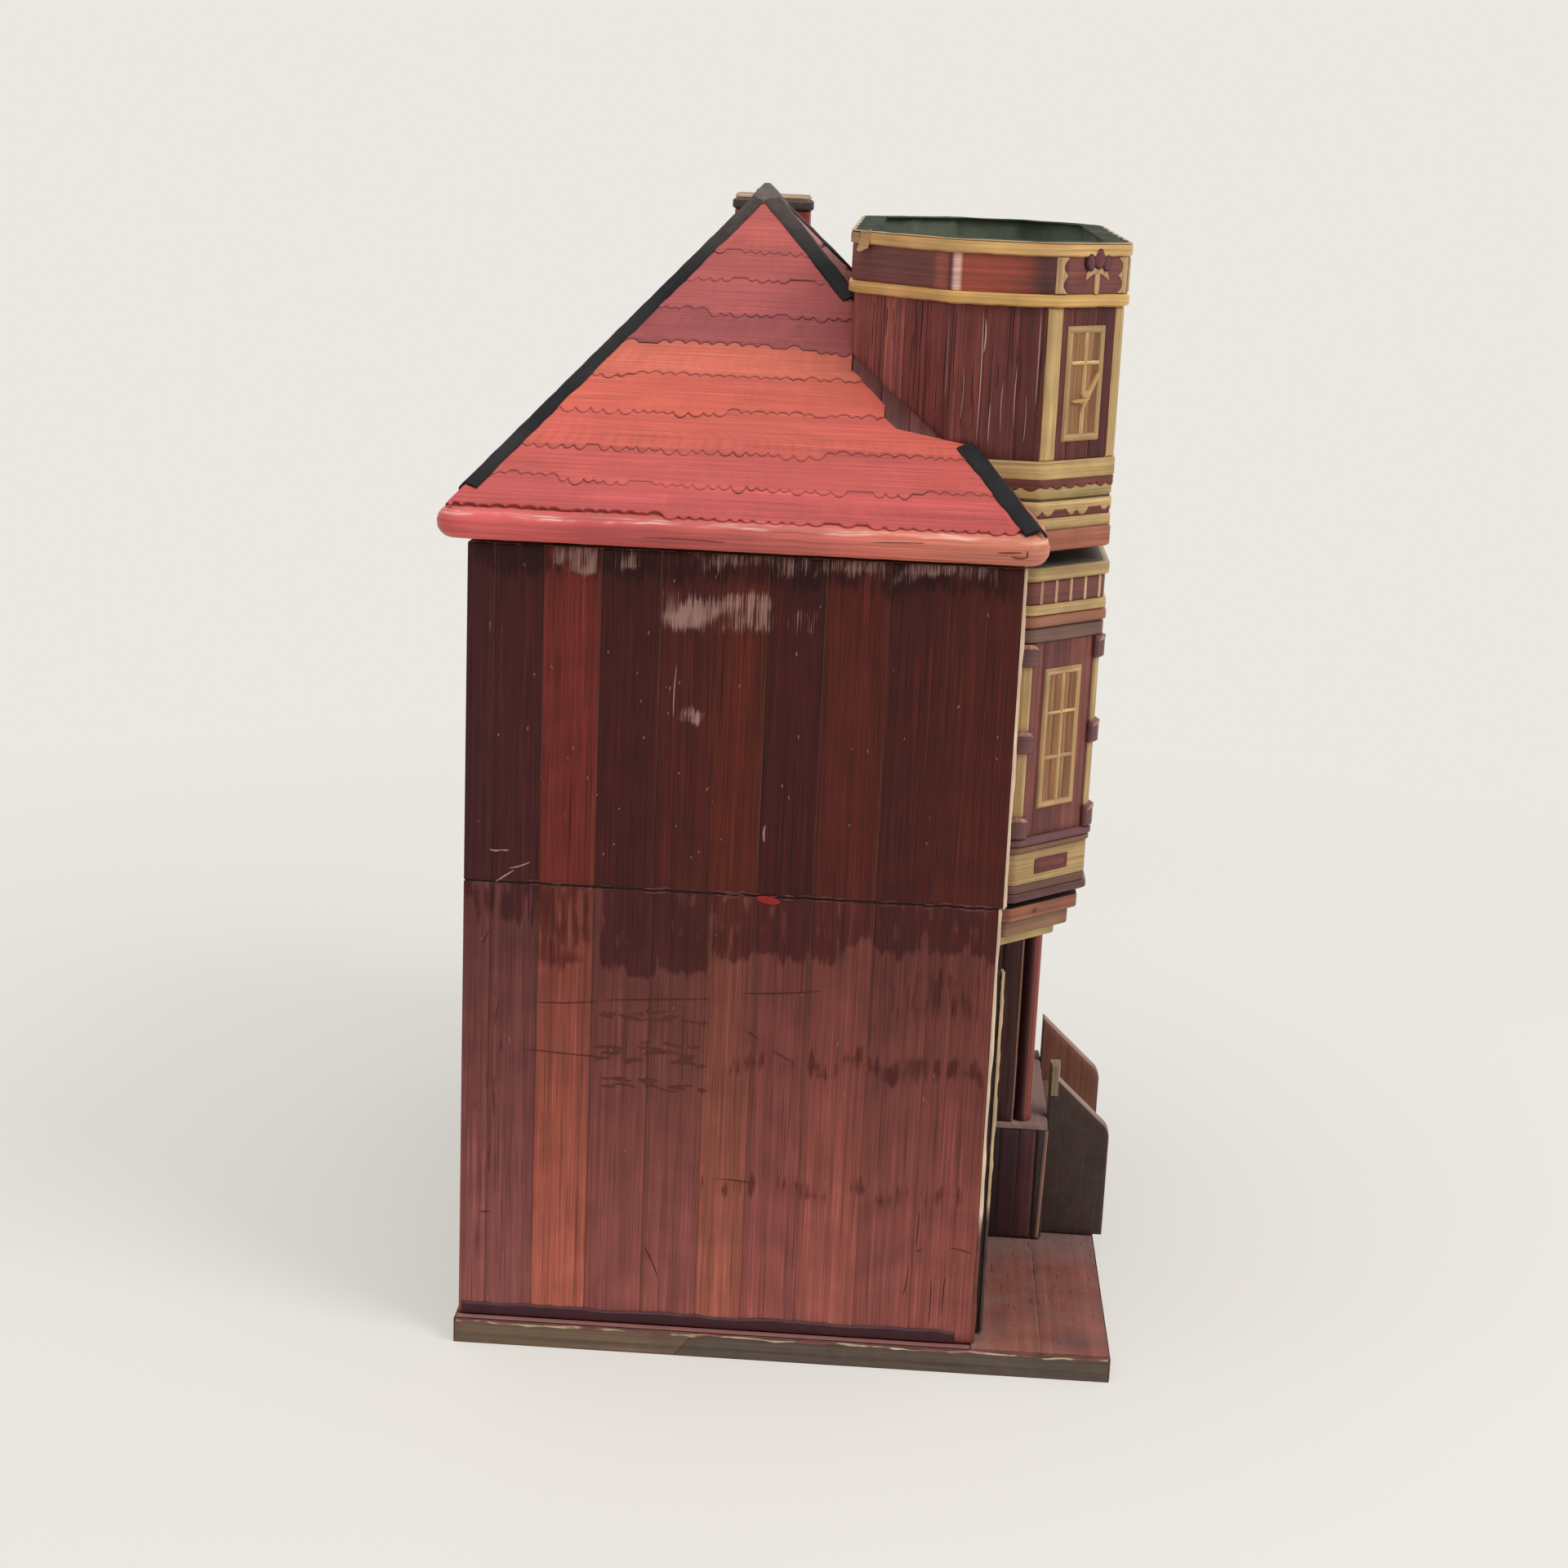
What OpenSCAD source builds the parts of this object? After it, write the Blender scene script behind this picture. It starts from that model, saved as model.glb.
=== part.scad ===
// A trinket box in the shape of a two storey town house, covered in dyed straw.
// The roof with its open turret is a hinged lid, and each storey's front is the front of a drawer.
// x runs across the house from its middle, y from the lower front plane to the back, z up.

/* [House] */
// Width over the two side walls
house_w = 140; // [110:1:180]
// Depth from the lower front plane to the back of the house
house_d = 95; // [80:1:130]
// Height of the lower storey, from the base board to the seam between the storeys
lower_h = 83.5; // [74:0.5:110]
// Height of the upper storey's walls above the seam
upper_h = 60.6; // [56:0.2:80]
// Thickness of the side wall boards with their straw
wall_t = 3.8; // [3:0.1:5]
// Thickness of the back wall boards with their straw
back_t = 3.5; // [2.5:0.1:5]
// Thickness of the straw sheets on the walls
straw_t = 0.3; // [0.2:0.05:0.6]
// How far the upper storey stands forward of the lower one
upper_forward = 0.7; // [0:0.1:1.5]
// How far the pale strips stand proud of the front edges of the side walls
edge_strip_t = 0.9; // [0.4:0.1:1.5]
// Height of the dark skirting at the foot of the walls
skirting_h = 3; // [1.5:0.5:6]
// How far the skirting's ends stay back from the front edge
skirting_stop = 3; // [1:0.5:10]

/* [Base] */
// Thickness of the base board
base_t = 5; // [3:0.5:8]
// How far the base board stands out beyond the side walls
base_side = 2; // [1:0.5:6]
// How far the base board stands out beyond the back wall
base_back = 0.5; // [0.5:0.5:4]
// Depth of the terrace in front of the house
terrace_d = 25.5; // [22:0.5:40]

/* [Drawers] */
// Thickness of the drawer fronts
front_t = 4; // [3:0.5:6]
// Thickness of the drawer sides and backs
drawer_side_t = 2.4; // [1.5:0.1:3.5]
// Thickness of the drawer bottoms
drawer_bottom_t = 2; // [1.5:0.1:3]
// Gap between a drawer and the walls beside it
drawer_side_gap = 0.5; // [0.3:0.1:1]
// Gap under a drawer
drawer_lift = 0.4; // [0.3:0.1:1]
// Gap between a drawer's rim and what is over it
drawer_head_gap = 1; // [0.5:0.1:3]
// Gap between a closed drawer front and the boards behind it
front_stop_gap = 0.3; // [0.3:0.1:1]
// Gap behind a closed drawer
drawer_back_gap = 0.5; // [0.3:0.1:2]
// Thickness of the board between the storeys
middle_t = 3; // [2:0.5:5]
// Gap between the two drawer fronts
front_gap = 0.7; // [0.4:0.1:1.5]
// How far the upper drawer front reaches below the board between the storeys
front_reach = 0.1; // [0:0.1:0.5]
// Thickness of the dark paper lining
lining_t = 0.3; // [0.2:0.1:0.5]
// How far the lining under the lid stays back from what is round it
lining_margin = 1; // [0.5:0.5:3]

/* [Tray under the lid] */
// Thickness of the tray floor
tray_t = 2.5; // [1.5:0.1:4]
// Depth of the tray below the top of the walls
tray_depth = 15.6; // [8:0.1:24]
// Thickness of the rail at the tray's front
tray_rail_t = 2.5; // [1.5:0.1:4]
// How far the rail and the tray's lining stay below the top of the walls
rail_drop = 0.5; // [0.3:0.1:1]

/* [Tower plan, shared by turret, bay and canopy] */
// Distance from the side wall's outer face in to the tower's side
tower_margin = 15; // [10:0.5:20]
// Depth of the tower's straight sides in front of the house
tower_return = 3; // [2:0.5:6]
// Width and depth of the tower's slanting front facets
tower_cut = 13; // [9:0.5:16]
// Thickness of the tower's boards
tower_t = 2.5; // [1.5:0.1:3.5]
// Thickness of the glue line between bands, boards and straw strips
glue_gap = 0.05; // [0.02:0.01:0.1]

/* [Bay on the upper drawer] */
// How far the upper drawer's bay stays below the top of the walls
bay_drop = 2.1; // [1.5:0.1:4]
// Height of the brown foot moulding
bay_foot_h = 3.2; // [2:0.1:5]
// Height of the yellow panel band
bay_panel_h = 6.1; // [4:0.1:9]
// Height of the brown and purple sill moulding
bay_sill_h = 2.8; // [2:0.1:5]
// Height of the frieze's lowest, grey brown band
frieze_low_h = 2.8; // [1.5:0.1:4]
// Height of the frieze's salmon band
frieze_salmon_h = 2.1; // [1.5:0.1:4]
// Height of the yellow band under the upright bars
frieze_yellow_h = 2; // [1.5:0.1:4]
// Height of the field of upright bars
frieze_bar_h = 4.2; // [3:0.1:6]
// Height of the yellow cornice at the top
cornice_h = 2.5; // [1.5:0.1:4]
// Number of upright bars on each facet
facet_bars = 6; // [3:1:9]
// Number of upright bars on the flat front
front_bars = 30; // [20:1:50]
// Width of one upright bar
bar_w = 1.2; // [0.6:0.1:1.6]
// How far the upright bars stand proud of their field
bar_t = 0.4; // [0.2:0.1:0.5]
// How far the cornice and the salmon band stand proud of the bay's boards
cornice_t = 1.2; // [0.9:0.1:1.6]
// How far the other bands and mouldings stand proud
band_t = 1; // [0.6:0.1:1.5]
// How far the frieze's lowest band stands proud
frieze_low_t = 0.8; // [0.4:0.1:1.5]
// How far thin straw strips stand proud of what they lie on
strip_t = 0.5; // [0.3:0.1:0.8]
// Width of the pilaster strips at the corners
pilaster_w = 2.4; // [1.5:0.1:3]
// Height of the purple blocks on the pilasters
block_h = 4.1; // [2:0.1:6]

/* [Windows] */
// Width of a window frame
window_w = 10; // [7:0.5:12]
// Height of a turret window
turret_window_h = 20; // [14:0.5:23]
// Height of a bay window
bay_window_h = 25.8; // [18:0.2:26]
// Width of a window frame's straw strip
window_bar = 1.4; // [0.8:0.1:2]
// Width of the thin glazing bars
glazing_bar = 0.7; // [0.4:0.1:1]
// Number of windows across the flat fronts
front_windows = 3; // [1:1:4]
// Number of lights one above the other in a window
window_rows = 3; // [2:1:4]

/* [Roof] */
// Gap between the walls and the lid
lid_gap = 1.1; // [0.9:0.1:2]
// How far the eave stands out beyond the side walls
eave_side = 5; // [3:0.5:8]
// How far the eave stands out in front
eave_front = 4.5; // [2.5:0.5:6]
// How far the eave stands out behind
eave_back = 5; // [4:0.5:8]
// Thickness of the eave board
eave_t = 5.2; // [4:0.2:7]
// How far the slopes start in from the eave's edge
eave_round = 1.4; // [1:0.1:2.5]
// Height of the roof's tip above the eave board
roof_rise = 53.8; // [48:0.2:64]
// Distance of the roof's tip behind the lower front plane
apex_y = 50; // [46:0.5:56]
// Thickness of the roof boards
roof_board_t = 2.2; // [1.5:0.1:3]
// Thickness of the straw tiles on the roof
tile_t = 0.6; // [0.3:0.1:1]
// Thickness of the black hip strips
hip_t = 0.6; // [0.3:0.1:1]
// Half the width of a hip strip in plan
hip_half_w = 3; // [2:0.1:4]
// Distance of a hip strip's foot from the roof's corner
hip_foot_gap = 1.5; // [0.5:0.5:6]
// Gap between the roof and the turret's sides
roof_cut_gap = 1; // [0.5:0.5:2]
// How far the roof's cut for the turret reaches behind the turret's sides
roof_cut_corner = 6.6; // [2:0.2:8]
// How much wider the cut is than the turret's back, at each end
roof_cut_end = 4.5; // [2:0.5:6]

/* [Chimney] */
// Distance of the chimney's near face from the roof's tip
chimney_x = 20; // [18:0.5:26]
// Thickness of the chimney along x
chimney_t = 8; // [5:0.5:12]
// Width of the chimney along y
chimney_w = 15; // [8:0.5:16]
// How far the chimney's top stays below the roof's tip
chimney_drop = 2; // [1:0.5:8]
// Height of the dark band round the chimney
chimney_band_h = 2; // [1:0.5:4]
// Distance of the dark band below the chimney's top
chimney_band_drop = 1; // [0.5:0.5:3]

/* [Turret on the lid] */
// Distance of the turret's back wall behind the lower front plane
turret_back = 31.2; // [26:0.2:34]
// Width and depth of the turret's back facets
turret_back_cut = 17.5; // [12:0.5:20]
// Height of the turret's rim above the underside of the lid
turret_h = 53; // [48:0.5:60]
// How far the turret's floor reaches below the underside of the lid
turret_drop = 0.4; // [0:0.1:0.6]
// Height of the crown band
crown_h = 11; // [8:0.5:14]
// Height of the crown's yellow strips
crown_strip_h = 2.4; // [1.5:0.1:3.5]
// How far the crown band stands proud
crown_t = 0.9; // [0.5:0.1:1.2]
// Height of the turret's foot mouldings
turret_foot_h = 16; // [12:0.5:20]
// Height of the salmon band at the turret's foot
turret_salmon_h = 3.2; // [2:0.1:5]
// Height of the yellow band at the top of the foot mouldings
turret_yellow_h = 2.4; // [1.5:0.1:4]

/* [Hinges] */
// Radius of the hinge knuckles
knuckle_r = 1.1; // [0.9:0.1:1.4]
// Radius of the hinge pins
hinge_pin_r = 0.5; // [0.4:0.05:0.6]
// Radial clearance between pins and knuckles
pin_clearance = 0.05; // [0.02:0.01:0.1]
// Clearance between a knuckle and what turns round it
knuckle_clearance = 0.3; // [0.2:0.05:0.5]
// Width of a hinge
hinge_w = 14; // [10:0.5:20]
// Width of a hinge's middle knuckle
middle_knuckle_w = 5; // [3:0.5:7]
// Thickness of the hinge leaves
leaf_t = 0.5; // [0.3:0.1:0.5]
// Height of the leaf on the back wall
wall_leaf_h = 8; // [6:0.5:12]
// Depth of the leaf under the lid
lid_leaf_d = 7; // [6:0.5:10]
// Distance of the hinges from the middle of the house
hinge_x = 42; // [30:1:48]
// Radius of the nail heads
nail_r = 0.7; // [0.5:0.1:0.9]
// Height of the nail heads
nail_head_t = 0.25; // [0.15:0.05:0.3]
// Length of the nail shanks
nail_l = 2.2; // [1.5:0.1:2.4]

/* [Canopy over the door] */
// How far the canopy stays below the top of the lower drawer front
canopy_drop = 0.7; // [0:0.1:2]
// Height of the canopy's salmon cornice
canopy_top_h = 2.5; // [1.5:0.1:4]
// Height of the canopy's brown middle board
canopy_mid_h = 3.4; // [2:0.1:5]
// Height of the canopy's yellow lowest board
canopy_low_h = 2.4; // [1.5:0.1:4]
// How far the salmon cornice stays inside the tower's plan
canopy_top_in = 0.7; // [0:0.1:2]
// How far the middle board stays inside the tower's plan
canopy_mid_in = 2.2; // [1:0.1:4]
// How far the lowest board stays inside the tower's plan
canopy_low_in = 4.5; // [2:0.1:6]

/* [Porch and stairs] */
// Width of the pale strips at the sides of the lower drawer front
front_strip_w = 3; // [1.5:0.5:5]
// How far these strips stand proud of the lower drawer front
front_strip_t = 1.4; // [0.5:0.1:2]
// Width of the podium
podium_w = 43; // [36:1:52]
// Height of the podium above the base board, under its slab
podium_h = 23.8; // [18:0.2:30]
// Depth of the podium
podium_out = 14.6; // [12:0.2:16]
// Thickness of the podium's slab
slab_t = 1.2; // [0.8:0.1:2.5]
// How far the slab stands proud of the podium's sides
slab_proud = 0.4; // [0:0.1:1]
// Diameter of the columns
column_d = 3.6; // [2.5:0.1:4.2]
// Gap between the columns and the door frame behind them
column_gap = 0.3; // [0.1:0.1:0.5]
// Distance of the columns' axes in from the podium's side
column_in = 2.4; // [2.3:0.1:4]
// Thickness of the door frame's side boards
portal_t = 2; // [1:0.1:3]
// How far the door frame stands forward
portal_out = 7.3; // [4:0.1:7.4]
// Height of the board over the door
lintel_h = 6; // [3:0.5:12]
// Thickness of the door leaf
door_t = 0.8; // [0.4:0.1:1.5]
// Thickness of the stairs' side boards
stringer_t = 3; // [2:0.1:4]
// Clear width of the stairs
stair_w = 30; // [24:1:34]
// Height of the side boards where they meet the podium
stringer_h = 34.5; // [30:0.5:40]
// Height of the side boards at their foot, before rounding
stringer_foot_h = 23; // [16:0.5:26]
// Distance of the side boards' feet in front of the lower front plane
stair_out = 27; // [23:0.5:32]
// Radius of the side boards' rounded shoulder
shoulder_r = 3.5; // [1:0.5:5]
// Number of steps
step_count = 5; // [3:1:8]
// Gap between the porch and the terrace under it
glide_gap = 0.5; // [0.3:0.1:1.5]

/* [Hidden] */
$fn = 48;

// Heights and planes of the house
wall_top = lower_h + upper_h;
inner_w = house_w - 2 * wall_t;
inner_back = house_d - back_t;
stop_y = front_t + front_stop_gap;
middle_z = lower_h - middle_t;
upper_front_z = middle_z - front_reach;
lower_front_top = upper_front_z - front_gap;
upper_front_top = wall_top - bay_drop;
tray_z = wall_top - tray_depth;
lid_z = wall_top + lid_gap;
eave_top = lid_z + eave_t;
rim_z = lid_z + turret_h;
slab_z = podium_h;
slab_top = slab_z + slab_t;

// The tower's plan
tower_half_w = house_w / 2 - tower_margin;
tower_out = tower_return + tower_cut;
facet_turn = 45;
corner_k = tan(facet_turn / 2);

// The bay's bands, from its foot up
bay_panel_z = upper_front_z + bay_foot_h;
bay_sill_z = bay_panel_z + bay_panel_h;
bay_field_z = bay_sill_z + bay_sill_h;
cornice_z = upper_front_top - cornice_h;
frieze_bar_z = cornice_z - frieze_bar_h;
frieze_yellow_z = frieze_bar_z - frieze_yellow_h;
frieze_salmon_z = frieze_yellow_z - frieze_salmon_h;
frieze_low_z = frieze_salmon_z - frieze_low_h;
bay_field_h = frieze_low_z - bay_field_z;

// The turret's bands
turret_z = lid_z - turret_drop;
crown_z = rim_z - crown_h;
turret_field_z = turret_z + turret_foot_h;
turret_field_h = crown_z - turret_field_z;

// The canopy's boards, from the top down
canopy_top_z = lower_front_top - canopy_drop - canopy_top_h;
canopy_mid_z = canopy_top_z - canopy_mid_h;
canopy_low_z = canopy_mid_z - canopy_low_h;

// The roof's slopes
roof_half_w = house_w / 2 + eave_side - eave_round;
roof_front_y = -eave_front + eave_round;
roof_back_y = house_d + eave_back - eave_round;
side_slope = roof_rise / roof_half_w;
front_slope = roof_rise / (apex_y - roof_front_y);
back_slope = roof_rise / (roof_back_y - apex_y);

// The hinge's axis
axis_y = house_d + knuckle_r + knuckle_clearance;
axis_z = lid_z - knuckle_r - knuckle_clearance;

// The whole part stands on z = 0, and its middle is at x = 0 and y = 0
part_front = max(stair_out, terrace_d, tower_out + max(band_t, cornice_t, crown_t + strip_t));
part_back = house_d + max(eave_back, base_back);
centre_y = (part_back - part_front) / 2;

// Small overlaps, the reach of cutting shapes, and the number of facets round the eave
tiny = 0.01;
over = 1;
eave_facets = 24;

module in_place() {
    translate([0, -centre_y, base_t]) children();
}

// A box from its lowest corner to its highest
module block(low, high) {
    translate(low) cube(high - low);
}

module both_sides() {
    children();
    mirror([1, 0, 0]) children();
}

// Plan of the tower in front of the house, grown by g on its free sides
function tower_plan(g) = [
    [-(tower_half_w + g), 0],
    [-(tower_half_w + g), -(tower_return + corner_k * g)],
    [-(tower_half_w - tower_cut + corner_k * g), -(tower_out + g)],
    [tower_half_w - tower_cut + corner_k * g, -(tower_out + g)],
    [tower_half_w + g, -(tower_return + corner_k * g)],
    [tower_half_w + g, 0]
];

// Plan of the turret all round, grown by g
function turret_plan(g) = [
    [-(tower_half_w + g), turret_back - turret_back_cut + corner_k * g],
    [-(tower_half_w + g), -(tower_return + corner_k * g)],
    [-(tower_half_w - tower_cut + corner_k * g), -(tower_out + g)],
    [tower_half_w - tower_cut + corner_k * g, -(tower_out + g)],
    [tower_half_w + g, -(tower_return + corner_k * g)],
    [tower_half_w + g, turret_back - turret_back_cut + corner_k * g],
    [tower_half_w - turret_back_cut + corner_k * g, turret_back + g],
    [-(tower_half_w - turret_back_cut + corner_k * g), turret_back + g]
];

module tower_prism(g, z, h) {
    translate([0, 0, z]) linear_extrude(h) polygon(tower_plan(g));
}

module turret_prism(g, z, h) {
    translate([0, 0, z]) linear_extrude(h) polygon(turret_plan(g));
}

// Thin upright slabs through a plan's corners, where the boards along its sides meet
module mitres(inner, outer, corners, z, h) {
    for (i = corners) {
        along = outer[i] - inner[i];
        translate([inner[i][0], inner[i][1], z]) rotate([0, 0, atan2(along[1], along[0])])
            translate([-over, -glue_gap / 2, 0]) cube([norm(along) + 2 * over, glue_gap, h]);
    }
}

// A band round the bay, from its board out to g
module tower_band(g, z, h) {
    difference() {
        tower_prism(g, z, h - glue_gap);
        tower_prism(0, z - over, h + 2 * over);
    }
}

// The same round the turret
module turret_band(g, z, h) {
    difference() {
        turret_prism(g, z, h - glue_gap);
        turret_prism(0, z - over, h + 2 * over);
    }
}

// Sets its children on the left front facet, with x along it and y out of it
module on_left_facet() {
    middle_x = -(tower_half_w - tower_cut / 2);
    middle_y = -(tower_return + tower_cut / 2);
    translate([middle_x, middle_y, 0]) rotate([0, 0, -facet_turn]) children();
}

module on_both_facets() {
    both_sides() on_left_facet() children();
}

facet_w = tower_cut * sqrt(2);
flat_w = 2 * (tower_half_w - tower_cut);

// Carcass

module base_board() {
    color("saddlebrown") in_place() block([-house_w / 2 - base_side, -terrace_d, -base_t],
        [house_w / 2 + base_side, house_d + base_back, 0]);
}

module side_wall(front, z, h) {
    block([-house_w / 2 + straw_t, front, z], [-house_w / 2 + wall_t, house_d - straw_t, z + h]);
}

module back_wall(z, h) {
    block([-inner_w / 2, inner_back, z], [inner_w / 2, house_d - straw_t, z + h]);
}

module lower_side_walls() {
    color("sienna") in_place() both_sides() side_wall(0, 0, lower_h);
}

module lower_back_wall() {
    color("sienna") in_place() back_wall(0, lower_h);
}

module middle_board() {
    color("peru") in_place() block([-inner_w / 2, stop_y, middle_z], [inner_w / 2, inner_back, lower_h]);
}

module upper_side_walls() {
    color("sienna") in_place() both_sides() side_wall(-upper_forward, lower_h, upper_h);
}

module upper_back_wall() {
    color("sienna") in_place() back_wall(lower_h, upper_h);
}

module tray_floor() {
    color("peru") in_place() block([-inner_w / 2, stop_y, tray_z - tray_t],
        [inner_w / 2, inner_back, tray_z]);
}

module tray_front_rail() {
    color("peru") in_place() block([-inner_w / 2, stop_y, tray_z],
        [inner_w / 2, stop_y + tray_rail_t, wall_top - rail_drop]);
}

// An open box of paper that lines the space between two corners
module paper_box(low, high) {
    difference() {
        block(low, high);
        block(low + [lining_t, lining_t, lining_t], high + [-lining_t, -lining_t, over]);
    }
}

module tray_lining() {
    color("darkslategray") in_place() paper_box([-inner_w / 2, stop_y + tray_rail_t, tray_z],
        [inner_w / 2, inner_back, wall_top - rail_drop]);
}

module wall_straw_sheets() {
    block([-house_w / 2, 0, 0], [-house_w / 2 + straw_t, house_d, lower_h - tiny]);
    block([-house_w / 2, -upper_forward, lower_h], [-house_w / 2 + straw_t, house_d, wall_top]);
}

module side_wall_straw() {
    color("brown") in_place() both_sides() wall_straw_sheets();
}

module back_wall_straw() {
    half_w = house_w / 2 - straw_t;
    color("firebrick") in_place() {
        block([-half_w, house_d - straw_t, 0], [half_w, house_d, lower_h - tiny]);
        block([-half_w, house_d - straw_t, lower_h], [half_w, house_d, wall_top]);
    }
}

module edge_strip(front, z, top) {
    block([-house_w / 2, front - edge_strip_t, z], [-inner_w / 2, front, top]);
}

module wall_edge_strips() {
    color("burlywood") in_place() both_sides() {
        edge_strip(0, 0, lower_h - tiny);
        edge_strip(-upper_forward, lower_h, wall_top);
    }
}

module skirting() {
    color("maroon") in_place() both_sides() block([-house_w / 2 - strip_t, skirting_stop, 0],
        [-house_w / 2, house_d, skirting_h]);
}

// Hinges: the leaf on the wall carries the two outer knuckles, the leaf under the lid the middle one

module knuckle(x, w) {
    translate([x, axis_y, axis_z]) rotate([0, 90, 0]) cylinder(r = knuckle_r, h = w);
}

module pin_bore() {
    translate([-hinge_w, axis_y, axis_z]) rotate([0, 90, 0])
        cylinder(r = hinge_pin_r + pin_clearance, h = 2 * hinge_w);
}

module at_hinges() {
    both_sides() translate([-hinge_x, 0, 0]) children();
}

outer_knuckle_w = (hinge_w - middle_knuckle_w) / 2 - knuckle_clearance;
leaf_edge = knuckle_r + knuckle_clearance;
nail_spread = hinge_w / 3;

module wall_leaf() {
    difference() {
        union() {
            block([-hinge_w / 2, house_d, axis_z - wall_leaf_h],
                [hinge_w / 2, house_d + leaf_t, axis_z - leaf_edge]);
            for (x = [-hinge_w / 2, hinge_w / 2 - outer_knuckle_w]) {
                block([x, house_d, axis_z - leaf_edge - tiny], [x + outer_knuckle_w, axis_y, axis_z]);
                knuckle(x, outer_knuckle_w);
            }
        }
        pin_bore();
    }
}

module hinge_wall_leaves() {
    color("gold") in_place() at_hinges() wall_leaf();
}

module lid_leaf() {
    difference() {
        union() {
            block([-hinge_w / 2, axis_y - leaf_edge - lid_leaf_d, lid_z - leaf_t],
                [hinge_w / 2, axis_y - leaf_edge, lid_z]);
            block([-middle_knuckle_w / 2, axis_y - leaf_edge - tiny, lid_z - leaf_t],
                [middle_knuckle_w / 2, axis_y, lid_z]);
            block([-middle_knuckle_w / 2, axis_y - knuckle_r / 2, axis_z],
                [middle_knuckle_w / 2, axis_y + knuckle_r / 2, lid_z]);
            knuckle(-middle_knuckle_w / 2, middle_knuckle_w);
        }
        pin_bore();
    }
}

module hinge_lid_leaves() {
    color("gold") in_place() at_hinges() lid_leaf();
}

module hinge_pins() {
    color("goldenrod") in_place() at_hinges() translate([-hinge_w / 2, axis_y, axis_z])
        rotate([0, 90, 0]) cylinder(r = hinge_pin_r, h = hinge_w);
}

module nail() {
    cylinder(r = nail_r, h = nail_head_t);
    translate([0, 0, -nail_l]) cylinder(r = nail_r / 2, h = nail_l + tiny);
}

module hinge_lid_nails() {
    color("goldenrod") in_place() at_hinges() for (x = [-nail_spread, nail_spread])
        translate([x, axis_y - leaf_edge - lid_leaf_d / 2, lid_z - leaf_t]) mirror([0, 0, 1]) nail();
}

module hinge_wall_nails() {
    color("goldenrod") in_place() at_hinges() for (x = [-nail_spread, nail_spread])
        translate([x, house_d + leaf_t, axis_z - (wall_leaf_h + leaf_edge) / 2]) rotate([-90, 0, 0]) nail();
}

// Drawer boxes, shared by both storeys

module drawer_bottom(floor_z) {
    half_w = inner_w / 2 - drawer_side_gap;
    block([-half_w, front_t, floor_z], [half_w, inner_back - drawer_back_gap, floor_z + drawer_bottom_t]);
}

module drawer_sides(floor_z, rim) {
    half_w = inner_w / 2 - drawer_side_gap;
    both_sides() block([-half_w, front_t, floor_z + drawer_bottom_t],
        [-half_w + drawer_side_t, inner_back - drawer_back_gap, rim]);
}

module drawer_back(floor_z, rim) {
    half_w = inner_w / 2 - drawer_side_gap - drawer_side_t;
    block([-half_w, inner_back - drawer_back_gap - drawer_side_t, floor_z + drawer_bottom_t],
        [half_w, inner_back - drawer_back_gap, rim]);
}

module drawer_lining(floor_z, rim) {
    half_w = inner_w / 2 - drawer_side_gap - drawer_side_t;
    paper_box([-half_w, front_t, floor_z + drawer_bottom_t],
        [half_w, inner_back - drawer_back_gap - drawer_side_t, rim]);
}

module drawer_front(front, z, top) {
    half_w = inner_w / 2 - drawer_side_gap;
    block([-half_w, front, z], [half_w, front_t, top]);
}

// Upper drawer and its bay

upper_floor_z = lower_h + drawer_lift;
upper_rim = tray_z - tray_t - drawer_head_gap;

module upper_drawer_front() {
    color("indianred") in_place() drawer_front(-upper_forward, upper_front_z, upper_front_top);
}

module upper_drawer_bottom() {
    color("peru") in_place() drawer_bottom(upper_floor_z);
}

module upper_drawer_sides() {
    color("peru") in_place() drawer_sides(upper_floor_z, upper_rim);
}

module upper_drawer_back() {
    color("peru") in_place() drawer_back(upper_floor_z, upper_rim);
}

module upper_drawer_lining() {
    color("darkslategray") in_place() drawer_lining(upper_floor_z, upper_rim);
}

// Keeps what lies in front of the upper drawer's front board
module before_upper_front() {
    intersection() {
        children();
        block([-house_w, -house_d, 0], [house_w, -upper_forward, wall_top]);
    }
}

// The bay's floor and its five upright boards
module bay_wall() {
    board_z = upper_front_z + tower_t;
    board_h = upper_front_top - tower_t - board_z;
    color("rosybrown") in_place() before_upper_front() {
        tower_prism(0, upper_front_z, tower_t - glue_gap);
        difference() {
            tower_prism(0, board_z, board_h);
            tower_prism(-tower_t, board_z - over, board_h + 2 * over);
            mitres(tower_plan(-tower_t), tower_plan(0), [1 : 4], board_z - over, board_h + 2 * over);
        }
    }
}

module bay_top_board() {
    color("dimgray") in_place() before_upper_front() tower_prism(0, upper_front_top - tower_t, tower_t);
}

module bay_foot() {
    color("sienna") in_place() before_upper_front() {
        tower_band(band_t, upper_front_z, bay_foot_h / 2);
        tower_band(strip_t, upper_front_z + bay_foot_h / 2, bay_foot_h / 2);
    }
}

module bay_panel_band() {
    color("khaki") in_place() before_upper_front() tower_band(strip_t, bay_panel_z, bay_panel_h);
}

module bay_sill() {
    color("rosybrown") in_place() before_upper_front() {
        tower_band(band_t, bay_sill_z, bay_sill_h / 2);
        tower_band(cornice_t, bay_sill_z + bay_sill_h / 2, bay_sill_h / 2);
    }
}

// Bars let into a face w wide, counted evenly from edge to edge
module bars(w, count) {
    for (i = [0 : count - 1])
        translate([(i + 0.5) * w / count - w / 2 - bar_w / 2, -strip_t - bar_t, frieze_bar_z + glue_gap])
            cube([bar_w, bar_t + strip_t / 2, frieze_bar_h - 3 * glue_gap]);
}

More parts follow.
